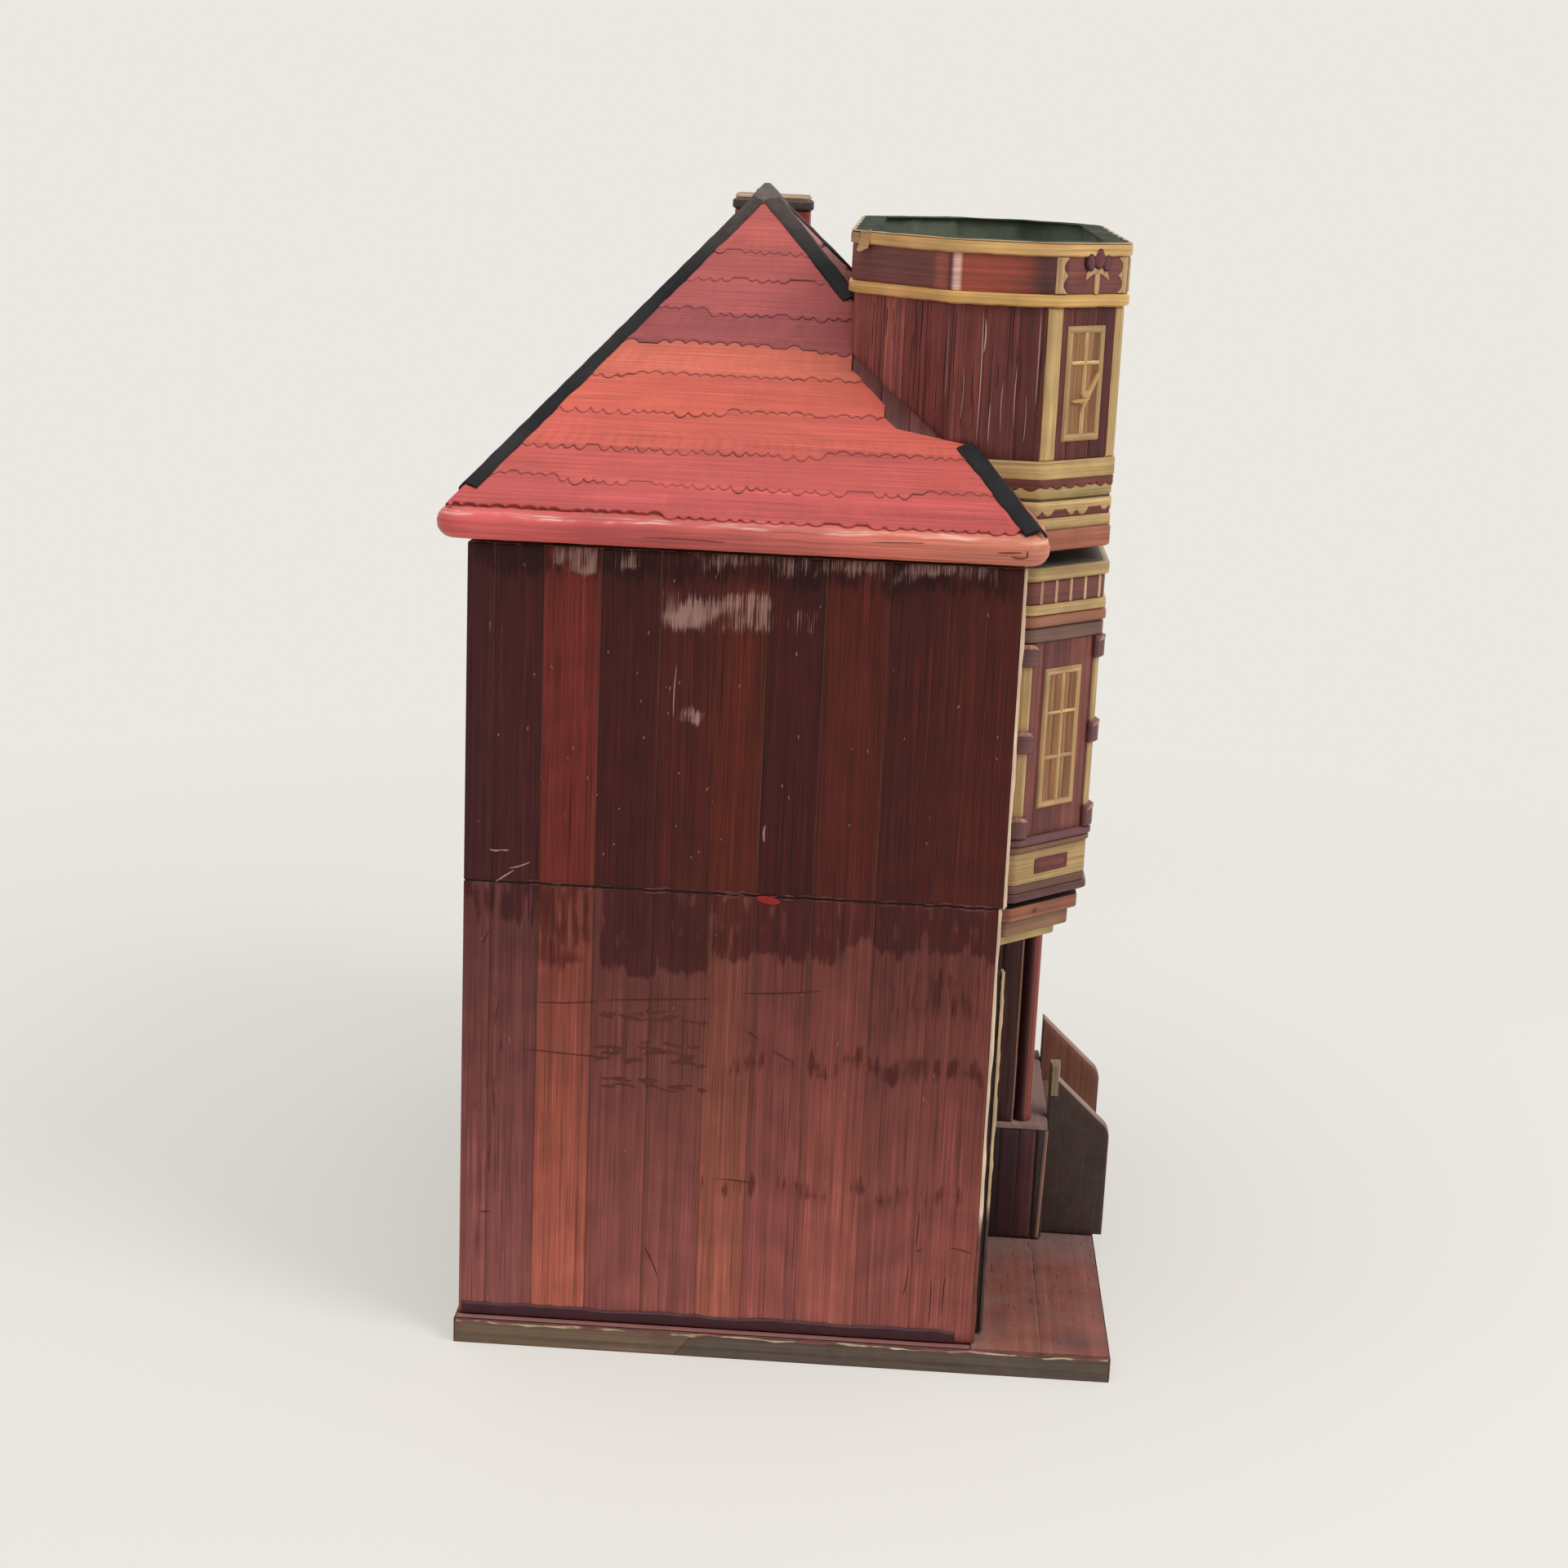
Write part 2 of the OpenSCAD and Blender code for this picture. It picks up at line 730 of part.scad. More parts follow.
module bay_frieze() {
    color("darksalmon") in_place() {
        before_upper_front() {
            tower_band(frieze_low_t, frieze_low_z, frieze_low_h);
            tower_band(cornice_t, frieze_salmon_z, frieze_salmon_h);
            tower_band(band_t, frieze_yellow_z, frieze_yellow_h);
            tower_band(strip_t, frieze_bar_z, frieze_bar_h);
            tower_band(cornice_t, cornice_z, cornice_h);
        }
        on_both_facets() bars(facet_w, facet_bars);
        translate([0, -tower_out, 0]) bars(flat_w, front_bars);
    }
}

// Strips over the tower's corners, from z up by h
module corner_strips(z, h, g) {
    intersection() {
        tower_band(g, z, h);
        both_sides() for (p = [1, 2])
            translate([tower_plan(0)[p][0], tower_plan(0)[p][1], z]) cylinder(r = pilaster_w, h = h);
    }
}

module bay_pilasters() {
    color("khaki") in_place() before_upper_front() corner_strips(bay_field_z, bay_field_h, strip_t);
}

block_levels = [bay_field_z, bay_field_z + (bay_field_h - block_h) / 2, frieze_low_z - block_h];

module bay_blocks() {
    color("mediumpurple") in_place() before_upper_front() for (z = block_levels) difference() {
        corner_strips(z, block_h, strip_t + band_t);
        tower_prism(strip_t, z - over, block_h + 2 * over);
    }
}

// A window frame of straw strips, w wide and h high, centred on x with its foot at z
module window(z, h) {
    light_w = window_w - 2 * window_bar;
    light_h = h - 2 * window_bar;
    translate([0, -strip_t, z]) {
        difference() {
            translate([-window_w / 2, 0, 0]) cube([window_w, strip_t, h]);
            translate([-light_w / 2, -over, window_bar]) cube([light_w, strip_t + 2 * over, light_h]);
        }
        translate([-glazing_bar / 2, 0, window_bar]) cube([glazing_bar, strip_t, light_h]);
        for (i = [1 : window_rows - 1])
            translate([-light_w / 2, 0, window_bar + i * light_h / window_rows - glazing_bar / 2])
                cube([light_w, strip_t, glazing_bar]);
    }
}

// The same window on both facets and evenly across the flat front
module window_row(z, h) {
    on_both_facets() window(z, h);
    for (i = [0 : front_windows - 1])
        translate([(i + 0.5) * flat_w / front_windows - flat_w / 2, -tower_out, 0]) window(z, h);
}

module bay_windows() {
    color("khaki") in_place() window_row(bay_field_z + (bay_field_h - bay_window_h) / 2, bay_window_h);
}

// Lower drawer with its canopy and porch

lower_floor_z = drawer_lift;
lower_rim = middle_z - drawer_head_gap - drawer_lift;

module lower_drawer_front() {
    color("indianred") in_place() drawer_front(0, drawer_lift, lower_front_top);
}

module lower_drawer_bottom() {
    color("peru") in_place() drawer_bottom(lower_floor_z);
}

module lower_drawer_sides() {
    color("peru") in_place() drawer_sides(lower_floor_z, lower_rim);
}

module lower_drawer_back() {
    color("peru") in_place() drawer_back(lower_floor_z, lower_rim);
}

module lower_drawer_lining() {
    color("darkslategray") in_place() drawer_lining(lower_floor_z, lower_rim);
}

module lower_front_strips() {
    half_w = inner_w / 2 - drawer_side_gap;
    color("burlywood") in_place() both_sides() block([-half_w, -front_strip_t, drawer_lift],
        [-half_w + front_strip_w, 0, canopy_low_z - drawer_lift]);
}

module canopy() {
    color("tan") in_place() {
        tower_prism(-canopy_top_in, canopy_top_z, canopy_top_h);
        tower_prism(-canopy_mid_in, canopy_mid_z, canopy_mid_h - glue_gap);
        tower_prism(-canopy_low_in, canopy_low_z, canopy_low_h - glue_gap);
    }
}

portal_half_w = podium_w / 2;
lintel_z = canopy_low_z - lintel_h;

module door_frame() {
    color("maroon") in_place() {
        both_sides() block([-portal_half_w, -portal_out, slab_top],
            [-portal_half_w + portal_t, 0, canopy_low_z]);
        block([-portal_half_w, -portal_out, lintel_z], [portal_half_w, 0, canopy_low_z]);
    }
}

module door_leaf() {
    half_w = portal_half_w - portal_t;
    color("firebrick") in_place() block([-half_w, -door_t, slab_top], [half_w, 0, lintel_z]);
}

module columns() {
    color("rosybrown") in_place() both_sides()
        translate([-(podium_w / 2 - column_in), -(portal_out + column_gap + column_d / 2), slab_top])
            cylinder(d = column_d, h = canopy_low_z - slab_top);
}

module podium() {
    color("dimgray") in_place() block([-podium_w / 2, -podium_out, glide_gap], [podium_w / 2, 0, slab_z]);
}

module podium_slab() {
    half_w = podium_w / 2 + slab_proud;
    color("tan") in_place() block([-half_w, -podium_out, slab_z], [half_w, 0, slab_top]);
}

// Outline of a stringer, with y forward and z up, rounded at its shoulder
stringer_slope = (stringer_h - stringer_foot_h) / (stair_out - podium_out);
slope_angle = atan(stringer_slope);
shoulder_y = stair_out - shoulder_r;
shoulder_z = stringer_h - (shoulder_y - podium_out) * stringer_slope - shoulder_r / cos(slope_angle);

module stringer_outline() {
    polygon([
        [podium_out, glide_gap],
        [podium_out, stringer_h],
        [shoulder_y + shoulder_r * sin(slope_angle), shoulder_z + shoulder_r * cos(slope_angle)],
        [shoulder_y, shoulder_z],
        [stair_out, shoulder_z],
        [stair_out, glide_gap]
    ]);
    translate([shoulder_y, shoulder_z]) circle(r = shoulder_r);
}

// Turns an outline with y forward and z up into a board of thickness t at x
module upright_board(x, t) {
    translate([x, 0, 0]) rotate([90, 0, -90]) translate([0, 0, -t]) linear_extrude(t) children();
}

module stair_stringers() {
    color("saddlebrown") in_place() both_sides()
        upright_board(-stair_w / 2 - stringer_t, stringer_t) stringer_outline();
}

step_run = (stair_out - stringer_t - podium_out) / step_count;
step_rise = slab_top / (step_count + 1);

module stair_steps() {
    color("peru") in_place() for (i = [0 : step_count - 1])
        block([-stair_w / 2, -podium_out - (i + 1) * step_run, glide_gap],
            [stair_w / 2, -podium_out - i * step_run, slab_top - (i + 1) * step_rise]);
}

// Roof lid

// The space under the roof's outer surface, with that surface lowered by d
module roof_body(d) {
    side_foot = roof_half_w - d * sqrt(1 + pow(1 / side_slope, 2));
    side_top = roof_rise - d * sqrt(1 + pow(side_slope, 2));
    front_foot = roof_front_y + d * sqrt(1 + pow(1 / front_slope, 2));
    back_foot = roof_back_y - d * sqrt(1 + pow(1 / back_slope, 2));
    top_y = (front_foot * front_slope + back_foot * back_slope) / (front_slope + back_slope);
    top_z = (top_y - front_foot) * front_slope;
    translate([0, 0, eave_top]) intersection() {
        translate([0, house_w + house_d, 0]) rotate([90, 0, 0]) linear_extrude(2 * (house_w + house_d))
            polygon([[-side_foot, 0], [0, side_top], [side_foot, 0]]);
        translate([-house_w, 0, 0]) rotate([90, 0, 90]) linear_extrude(2 * house_w)
            polygon([[front_foot, 0], [top_y, top_z], [back_foot, 0]]);
    }
}

// The cut in the roof for the turret, which it fits loosely at the sides and the back corners
module roof_cut() {
    side_x = tower_half_w + roof_cut_gap;
    corner_y = turret_back - turret_back_cut + roof_cut_corner;
    end_x = tower_half_w - turret_back_cut + roof_cut_end;
    front_y = -(tower_out + over);
    translate([0, 0, lid_z]) linear_extrude(turret_h) polygon([
        [-side_x, front_y], [-side_x, corner_y], [-end_x, turret_back],
        [end_x, turret_back], [side_x, corner_y], [side_x, front_y]
    ]);
}

// Four sheets that meet at the hips, cut out around the turret
module roof_shell(outer, inner) {
    difference() {
        roof_body(outer);
        roof_body(inner);
        roof_cut();
        hip_slabs(glue_gap, 0);
    }
}

module eave_corner(x, y) {
    r = eave_t / 2;
    translate([x, y, lid_z + r]) rotate_extrude($fn = eave_facets) intersection() {
        translate([eave_round, 0]) circle(r = r, $fn = eave_facets);
        translate([0, -r]) square([eave_round + r, 2 * r]);
    }
}

module eave_board() {
    r = eave_t / 2 + eave_round;
    x = house_w / 2 + eave_side - r;
    color("salmon") in_place() difference() {
        hull() for (sx = [-x, x], y = [-eave_front + r, house_d + eave_back - r]) eave_corner(sx, y);
        turret_prism(0, lid_z - over, turret_h);
    }
}

module roof_boards() {
    color("sandybrown") in_place() roof_shell(tile_t, tile_t + roof_board_t);
}

module roof_straw() {
    color("tomato") in_place() roof_shell(0, tile_t);
}

// Vertical slabs over the four hips, from the roof's tip out to the corners
module hip_slabs(half_w, foot_gap) {
    for (x = [-roof_half_w, roof_half_w], y = [roof_front_y, roof_back_y])
        translate([0, apex_y, eave_top - over]) rotate([0, 0, atan2(y - apex_y, x)])
            translate([0, -half_w, 0]) cube([norm([x, y - apex_y]) - foot_gap, 2 * half_w, 2 * roof_rise]);
}

module hip_strips() {
    color("darkslategray") in_place() difference() {
        intersection() {
            roof_body(-hip_t);
            hip_slabs(hip_half_w, hip_foot_gap);
        }
        roof_body(0);
        roof_cut();
    }
}

chimney_top = eave_top + roof_rise - chimney_drop;

module chimney() {
    color("firebrick") in_place() difference() {
        block([chimney_x, apex_y - chimney_w / 2, eave_top],
            [chimney_x + chimney_t, apex_y + chimney_w / 2, chimney_top]);
        roof_body(0);
    }
}

module chimney_band() {
    z = chimney_top - chimney_band_drop - chimney_band_h;
    low = [chimney_x, apex_y - chimney_w / 2, z];
    high = [chimney_x + chimney_t, apex_y + chimney_w / 2, z + chimney_band_h];
    proud = [strip_t, strip_t, 0];
    color("dimgray") in_place() difference() {
        block(low - proud, high + proud);
        block(low - [0, 0, over], high + [0, 0, over]);
        roof_body(0);
    }
}

module lid_lining() {
    half_w = inner_w / 2 - lining_margin;
    color("darkslategray") in_place() difference() {
        block([-half_w, stop_y + tray_rail_t + lining_margin, lid_z - lining_t],
            [half_w, axis_y - leaf_edge - lid_leaf_d - lining_margin, lid_z]);
        turret_prism(tiny, lid_z - over, 2 * over);
    }
}

// Turret on the lid: an open cup with a floor of its own

module turret_wall() {
    h = rim_z - turret_z;
    color("sienna") in_place() difference() {
        turret_prism(0, turret_z, h);
        turret_prism(-tower_t, turret_z - over, h + 2 * over);
        mitres(turret_plan(-tower_t), turret_plan(0), [0 : 7], turret_z - over, h + 2 * over);
    }
}

module turret_floor() {
    color("peru") in_place() turret_prism(-tower_t, turret_z, tower_t);
}

module turret_lining() {
    floor_z = turret_z + tower_t;
    color("darkslategray") in_place() difference() {
        turret_prism(-tower_t, floor_z, rim_z - floor_z);
        turret_prism(-tower_t - lining_t, floor_z + lining_t, turret_h);
    }
}

// Cuts away what would lie in or on the roof behind the turret
module clear_of_roof() {
    difference() {
        children();
        roof_body(-hip_t);
        block([-house_w, -eave_front, turret_z - over], [house_w, house_d, eave_top + tiny]);
    }
}

module turret_crown() {
    color("chocolate") in_place() clear_of_roof() {
        turret_band(crown_t + strip_t, crown_z, crown_strip_h);
        turret_band(crown_t, crown_z + crown_strip_h, crown_h - 2 * crown_strip_h);
        turret_band(crown_t + strip_t, rim_z - crown_strip_h, crown_strip_h);
    }
}

module turret_foot() {
    middle_z = turret_z + turret_salmon_h;
    middle_h = turret_foot_h - turret_salmon_h - turret_yellow_h;
    color("khaki") in_place() clear_of_roof() {
        turret_band(band_t, turret_z, turret_salmon_h);
        turret_band(strip_t, middle_z, middle_h);
        turret_band(band_t, middle_z + middle_h, turret_yellow_h);
    }
}

module turret_pilasters() {
    color("khaki") in_place() clear_of_roof() corner_strips(turret_field_z, turret_field_h, strip_t);
}

module turret_windows() {
    z = turret_field_z + (turret_field_h - turret_window_h) / 2;
    color("khaki") in_place() window_row(z, turret_window_h);
}

base_board();
lower_side_walls();
lower_back_wall();
middle_board();
upper_side_walls();
upper_back_wall();
tray_floor();
tray_front_rail();
tray_lining();
side_wall_straw();
back_wall_straw();
wall_edge_strips();
skirting();
hinge_wall_leaves();
hinge_pins();
hinge_wall_nails();
hinge_lid_nails();
upper_drawer_front();
upper_drawer_bottom();
upper_drawer_sides();
upper_drawer_back();
upper_drawer_lining();
bay_wall();
bay_top_board();
bay_foot();
bay_panel_band();
bay_sill();
bay_frieze();
bay_pilasters();
bay_blocks();
bay_windows();
lower_drawer_front();
lower_drawer_bottom();
lower_drawer_sides();
lower_drawer_back();
lower_drawer_lining();
lower_front_strips();
canopy();
door_frame();
door_leaf();
columns();
podium();
podium_slab();
stair_stringers();
stair_steps();
eave_board();
roof_boards();
roof_straw();
hip_strips();
chimney();
chimney_band();
lid_lining();
turret_wall();
turret_floor();
turret_lining();
turret_crown();
turret_foot();
turret_pilasters();
turret_windows();
hinge_lid_leaves();
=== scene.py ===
"""The looks of a trinket box in the shape of a house, covered in straw marquetry."""
import math

import bpy
import numpy as np
from mathutils import Matrix, Vector


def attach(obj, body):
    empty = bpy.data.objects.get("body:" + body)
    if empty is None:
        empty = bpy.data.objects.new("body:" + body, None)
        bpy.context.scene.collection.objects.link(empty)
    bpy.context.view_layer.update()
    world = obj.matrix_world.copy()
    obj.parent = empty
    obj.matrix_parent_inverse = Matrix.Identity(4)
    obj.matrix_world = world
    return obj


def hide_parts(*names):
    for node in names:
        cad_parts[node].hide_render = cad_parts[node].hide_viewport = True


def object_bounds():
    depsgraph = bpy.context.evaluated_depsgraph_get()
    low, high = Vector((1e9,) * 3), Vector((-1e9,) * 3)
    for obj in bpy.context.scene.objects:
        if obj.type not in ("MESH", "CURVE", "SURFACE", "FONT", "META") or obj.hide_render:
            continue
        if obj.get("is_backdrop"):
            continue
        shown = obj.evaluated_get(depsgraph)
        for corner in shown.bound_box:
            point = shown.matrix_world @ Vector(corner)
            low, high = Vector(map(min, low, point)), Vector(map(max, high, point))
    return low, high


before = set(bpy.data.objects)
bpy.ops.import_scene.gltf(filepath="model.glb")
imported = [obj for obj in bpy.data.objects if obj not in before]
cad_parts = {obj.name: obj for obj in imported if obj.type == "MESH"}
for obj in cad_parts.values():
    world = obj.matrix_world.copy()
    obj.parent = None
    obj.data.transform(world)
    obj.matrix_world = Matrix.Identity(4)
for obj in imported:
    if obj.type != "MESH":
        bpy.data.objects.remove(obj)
cad_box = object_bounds()

# House sizes in mm, measured from the middle of the house, its lower front and the top of its base board.
# The upper front stands forward of the lower one
MM = 0.001
HOUSE_ORIGIN = np.array([0.0, -36.5, 5.0])
HALF_W = 70.0
DEPTH = 95.0
SEAM = 83.5
WALL_TOP = 144.1
FORWARD = 0.7
BASE_HALF_W = 72.0
BASE_FRONT = -25.5
BASE_BACK = 95.5
EAVE_TOP = 150.4
TIP_Y = 50.0
TIP_Z = 204.2
ROOF_HALF_W = 73.6
ROOF_FRONT = -3.1
ROOF_BACK = 98.6
TURRET_BACK = 31.2
STRIP_X = 65.7
PODIUM_HALF_W = 21.5
PODIUM_FRONT = -14.6
SLAB_TOP = 25.0
CANOPY_FOOT = 70.7
# A straw rounds off this near its edges, and its points are at least a smallest step apart
EDGE = 0.15
SMALLEST_STEP = 0.03
# The widths of a straw's ridges and streaks, and the sizes of the patches in which it is cupped and mottled
RIDGE_W = 0.4
STREAK_W = 0.6
CUP_SIZE = 14
MOTTLE_SIZE = 11
# The grain map counts distances in tens of mm, and edges that turn by more than this angle stay sharp
GRAIN_UNIT = 10
SHARP_ANGLE = math.radians(38)
X, Y, Z = np.eye(3)


def linear(colour):
    """Colours of 0 to 255, as seen on a screen, to the shader's linear values."""
    c = np.asarray(colour, float) / 255
    return np.where(c <= 0.04045, c / 12.92, ((np.clip(c, 0, None) + 0.055) / 1.055) ** 2.4)


# Random lines and patches

def wander(x, length, seed, octaves=3):
    """A smooth random line from -1 to 1: sines whose lengths halve and whose strengths fall by half."""
    luck = np.random.default_rng(seed)
    total = np.zeros_like(np.asarray(x, float))
    for k in range(octaves):
        turns = x * 2 ** k / length * luck.uniform(0.75, 1.25) + luck.uniform()
        total = total + 0.5 ** k * np.sin(2 * np.pi * turns)
    return total / 1.6


def fibres(x, pitch, seed):
    """Random heights from -1 to 1, one for each pitch along x, joined by straight lines."""
    luck = np.random.default_rng(seed)
    first = math.floor(float(np.min(x)) / pitch) - 1
    count = int(math.ceil((float(np.max(x)) - float(np.min(x))) / pitch)) + 4
    return np.interp(x, (first + np.arange(count)) * pitch, luck.uniform(-1, 1, count))


def clouds(a, b, size, seed):
    """Smooth random patches from -1 to 1: for each of three octaves three sines in random directions."""
    luck = np.random.default_rng(seed)
    total = 0 * a
    for k in range(3):
        for _ in range(3):
            turn = luck.uniform(0, 2 * np.pi)
            wave = (a * math.cos(turn) + b * math.sin(turn)) * 2 ** k / size * luck.uniform(0.7, 1.4)
            total = total + 0.6 ** k * np.sin(2 * np.pi * (wave + luck.uniform()))
    return total / 3.5


def lobes(a, seed, widest=2.7, deepest=1.9, straight=0.1):
    """A scalloped line: half sines of random width and depth, below or above 0, a share of them straight."""
    luck = np.random.default_rng(seed)
    span = float(np.max(a) - np.min(a)) + 2 * widest
    widths = luck.choice([0.65, 0.8, 1.0], size=int(span / (0.6 * widest)) + 6) * widest
    starts = np.min(a) - widest + np.concatenate([[0], np.cumsum(widths)[:-1]])
    deep = deepest * luck.uniform(0.65, 1, len(widths)) * widths / widest
    deep = np.where(luck.uniform(size=len(widths)) < straight, 0.06, deep)
    side = np.where(np.sin(starts / 17 + seed) > -0.2, 1, -0.7)
    k = np.clip(np.searchsorted(starts, a, side="right") - 1, 0, len(starts) - 1)
    return -side[k] * deep[k] * np.sin(np.pi * np.clip((a - starts[k]) / widths[k], 0, 1)) ** 0.6


# Surfaces that straw is laid on: each takes distances along, up and out, in mm, and gives points

def flat(start, along, up):
    """A flat face: the start plus a along, w up and h out of the face, where out is along cross up."""
    start, along, up = (np.asarray(v, float) for v in (start, along, up))
    out = np.cross(along, up)
    return lambda a, w, h: start + a[..., None] * along + w[..., None] * up + h[..., None] * out


def mirrored(place):
    """The same surface on the other side of the house, with x turned round."""
    return lambda a, w, h: place(a, w, h) * np.array([-1.0, 1.0, 1.0])


def both(place):
    """A surface and the same one on the other side, numbered 0 and 1."""
    return enumerate((place, mirrored(place)))


def upright(place):
    """The same surface with a for the distance up and w for the one along."""
    return lambda a, w, h: place(w, a, h)


def proud(place, by, along=0.0):
    """The same surface moved out, and perhaps along."""
    return lambda a, w, h: place(a + along, w, h + by)


class Wall:
    """An upright surface round a plan: a runs along the outline, w is the height and h stands out of it.
    Corners run with the inside on the left, and each becomes an arc of a radius."""

    def __init__(self, corners, closed=False, radius=1.2, on_side=False):
        corners = np.asarray(corners, float)
        last = len(corners) - 1
        points, normals = [], []
        for i, here in enumerate(corners):
            if not closed and i in (0, last):
                way = corners[1] - here if i == 0 else here - corners[-2]
                way = way / np.linalg.norm(way)
                points.append(here)
                normals.append([way[1], -way[0]])
                continue
            before, after = here - corners[i - 1], corners[(i + 1) % (last + 1)] - here
            before, after = before / np.linalg.norm(before), after / np.linalg.norm(after)
            first = math.atan2(-before[0], before[1])
            turn = math.atan2(before[0] * after[1] - before[1] * after[0], before @ after)
            start = here - before * radius * math.tan(turn / 2)
            centre = start - radius * np.array([math.cos(first), math.sin(first)])
            for t in np.linspace(0, 1, 7):
                normals.append([math.cos(first + t * turn), math.sin(first + t * turn)])
                points.append(centre + radius * np.array(normals[-1]))
        if closed:
            points.append(points[0])
            normals.append(normals[0])
        self.points, self.normals = np.array(points), np.array(normals)
        self.run = np.concatenate([[0], np.cumsum(np.linalg.norm(np.diff(self.points, axis=0), axis=1))])
        self.length, self.on_side = self.run[-1], on_side

    def __call__(self, a, w, h):
        """The outline's point at a, plus h times its normal, at height w. On its side, the outline is one of
        distances forward and up, and w is x."""
        p, q, n, m = (np.interp(a, self.run, row) for row in (*self.points.T, *self.normals.T))
        size = np.hypot(n, m)
        p, q, w = p + h * n / size, q + h * m / size, w + 0 * p
        return np.stack([w, -p, q] if self.on_side else [p, q, w], axis=-1)

    def at(self, x, y):
        """The distance along the outline of its point nearest to x, y."""
        fine = np.linspace(0, self.length, 4000)
        px, py = (np.interp(fine, self.run, row) for row in self.points.T)
        return float(fine[np.argmin((px - x) ** 2 + (py - y) ** 2)])


# Pieces: many closed sheets of straw in one mesh. Sheets are added to the last piece begun

pieces = []


def piece(name, body, slot, material, *replaces):
    """Begins a piece that rides on a body, has a material and stands for CAD nodes; its slot is not used."""
    pieces.append((name, body, slot, material, replaces, []))


def net(i):
    """The faces between neighbours in a grid of point numbers."""
    return np.stack([i[:-1, :-1], i[1:, :-1], i[1:, 1:], i[:-1, 1:]], axis=-1).reshape(-1, 4)


def rim(top, low):
    """The faces between a line of outer points and the inner points under it."""
    return np.stack([top[:-1], low[:-1], low[1:], top[1:]], axis=-1)


def add_sheet(outer, inner, grain, tint, state=(0, 0, 0), wrap=False):
    """Adds a closed sheet, a grid of outer points over a grid of inner ones: faces over both, and a rim
    between their edges. A grid whose cross product points inwards is turned over first. wrap joins the first
    and last rows instead of a rim."""
    outer, inner = np.asarray(outer, float), np.asarray(inner, float)
    n, m = outer.shape[:2]
    grids = [outer, inner] + [np.broadcast_to(v, (n, m, np.shape(v)[-1])) for v in (grain, tint, state)]
    facing = np.cross(outer[1:, :-1] - outer[:-1, :-1], outer[:-1, 1:] - outer[:-1, :-1])
    if np.sum(facing * (outer - inner)[:-1, :-1]) < 0:
        grids = [grid[:, ::-1] for grid in grids]
    top = np.arange(n * m).reshape(n, m)
    top = np.vstack([top, top[:1]]) if wrap else top
    low = top + n * m
    faces = [net(top), net(low)[:, ::-1], rim(top[:, 0], low[:, 0])[:, ::-1], rim(top[:, -1], low[:, -1])]
    if not wrap:
        faces += [rim(top[0], low[0]), rim(top[-1], low[-1])[:, ::-1]]
    outer, inner, *values = (grid.reshape(n * m, -1) for grid in grids)
    sheet = [np.concatenate([outer, inner]), np.vstack(faces)]
    pieces[-1][-1].append(sheet + [np.tile(v, (2, 1)) for v in values])


def make_piece(name, body, slot, material, replaces, sheets):
    """Makes one object of all sheets, shifted by the house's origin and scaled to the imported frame."""
    points, quads, grain, tint, state = (np.concatenate(rows) for rows in zip(*sheets))
    counts = np.array([[len(sheet[0]), len(sheet[1])] for sheet in sheets])
    quads = quads + np.repeat(np.cumsum(counts[:, 0]) - counts[:, 0], counts[:, 1])[:, None]
    mesh = bpy.data.meshes.new(name)
    mesh.vertices.add(len(points))
    mesh.vertices.foreach_set("co", ((points + HOUSE_ORIGIN) * MM).astype(np.float32).ravel())
    mesh.loops.add(quads.size)
    mesh.loops.foreach_set("vertex_index", quads.astype(np.int32).ravel())
    mesh.polygons.add(len(quads))
    mesh.polygons.foreach_set("loop_start", np.arange(0, quads.size, 4, dtype=np.int32))
    mesh.update(calc_edges=True)
    grain = (grain / GRAIN_UNIT).astype(np.float32)
    mesh.uv_layers.new(name="grain").data.foreach_set("uv", grain[quads.ravel()].ravel())
    for title, values in (("tint", linear(tint)), ("state", state)):
        rows = np.ones((len(values), 4), np.float32)
        rows[:, :3] = values
        mesh.color_attributes.new(title, "FLOAT_COLOR", "POINT").data.foreach_set("color", rows.ravel())
    mesh.shade_smooth()
    mesh.set_sharp_from_angle(angle=SHARP_ANGLE)
    mesh.materials.append(material)
    made = bpy.data.objects.new(name, mesh)
    bpy.context.scene.collection.objects.link(made)
    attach(made, body)
    if replaces:
        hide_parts(*replaces)


# Sheets of straw

def spaced(length, rows):
    """Shares from 0 to 1: a number of rows evenly, and two more near both ends, where a straw rounds off."""
    near = np.array([0.08, 0.3]) / max(float(length), 1.0)
    return np.unique(np.concatenate([near, 1 - near, np.linspace(0, 1, rows)]))


def steps(place, start, end, pitch=0.8):
    """Distances from start to end, about a pitch apart and closer at both ends, where a straw rounds off. On
    a wall with corners the outline's own points are among them."""
    near = [d for d in (0.08, 0.25) if 2 * d < end - start]
    points = [np.linspace(start, end, max(3, int((end - start) / pitch) + 1)), [start + d for d in near],
        [end - d for d in near]]
    if isinstance(place, Wall):
        points.append(place.run[(place.run > start + 0.1) & (place.run < end - 0.1)])
    points = np.unique(np.concatenate(points))
    return points[np.concatenate([[True], np.diff(points) > SMALLEST_STEP])]


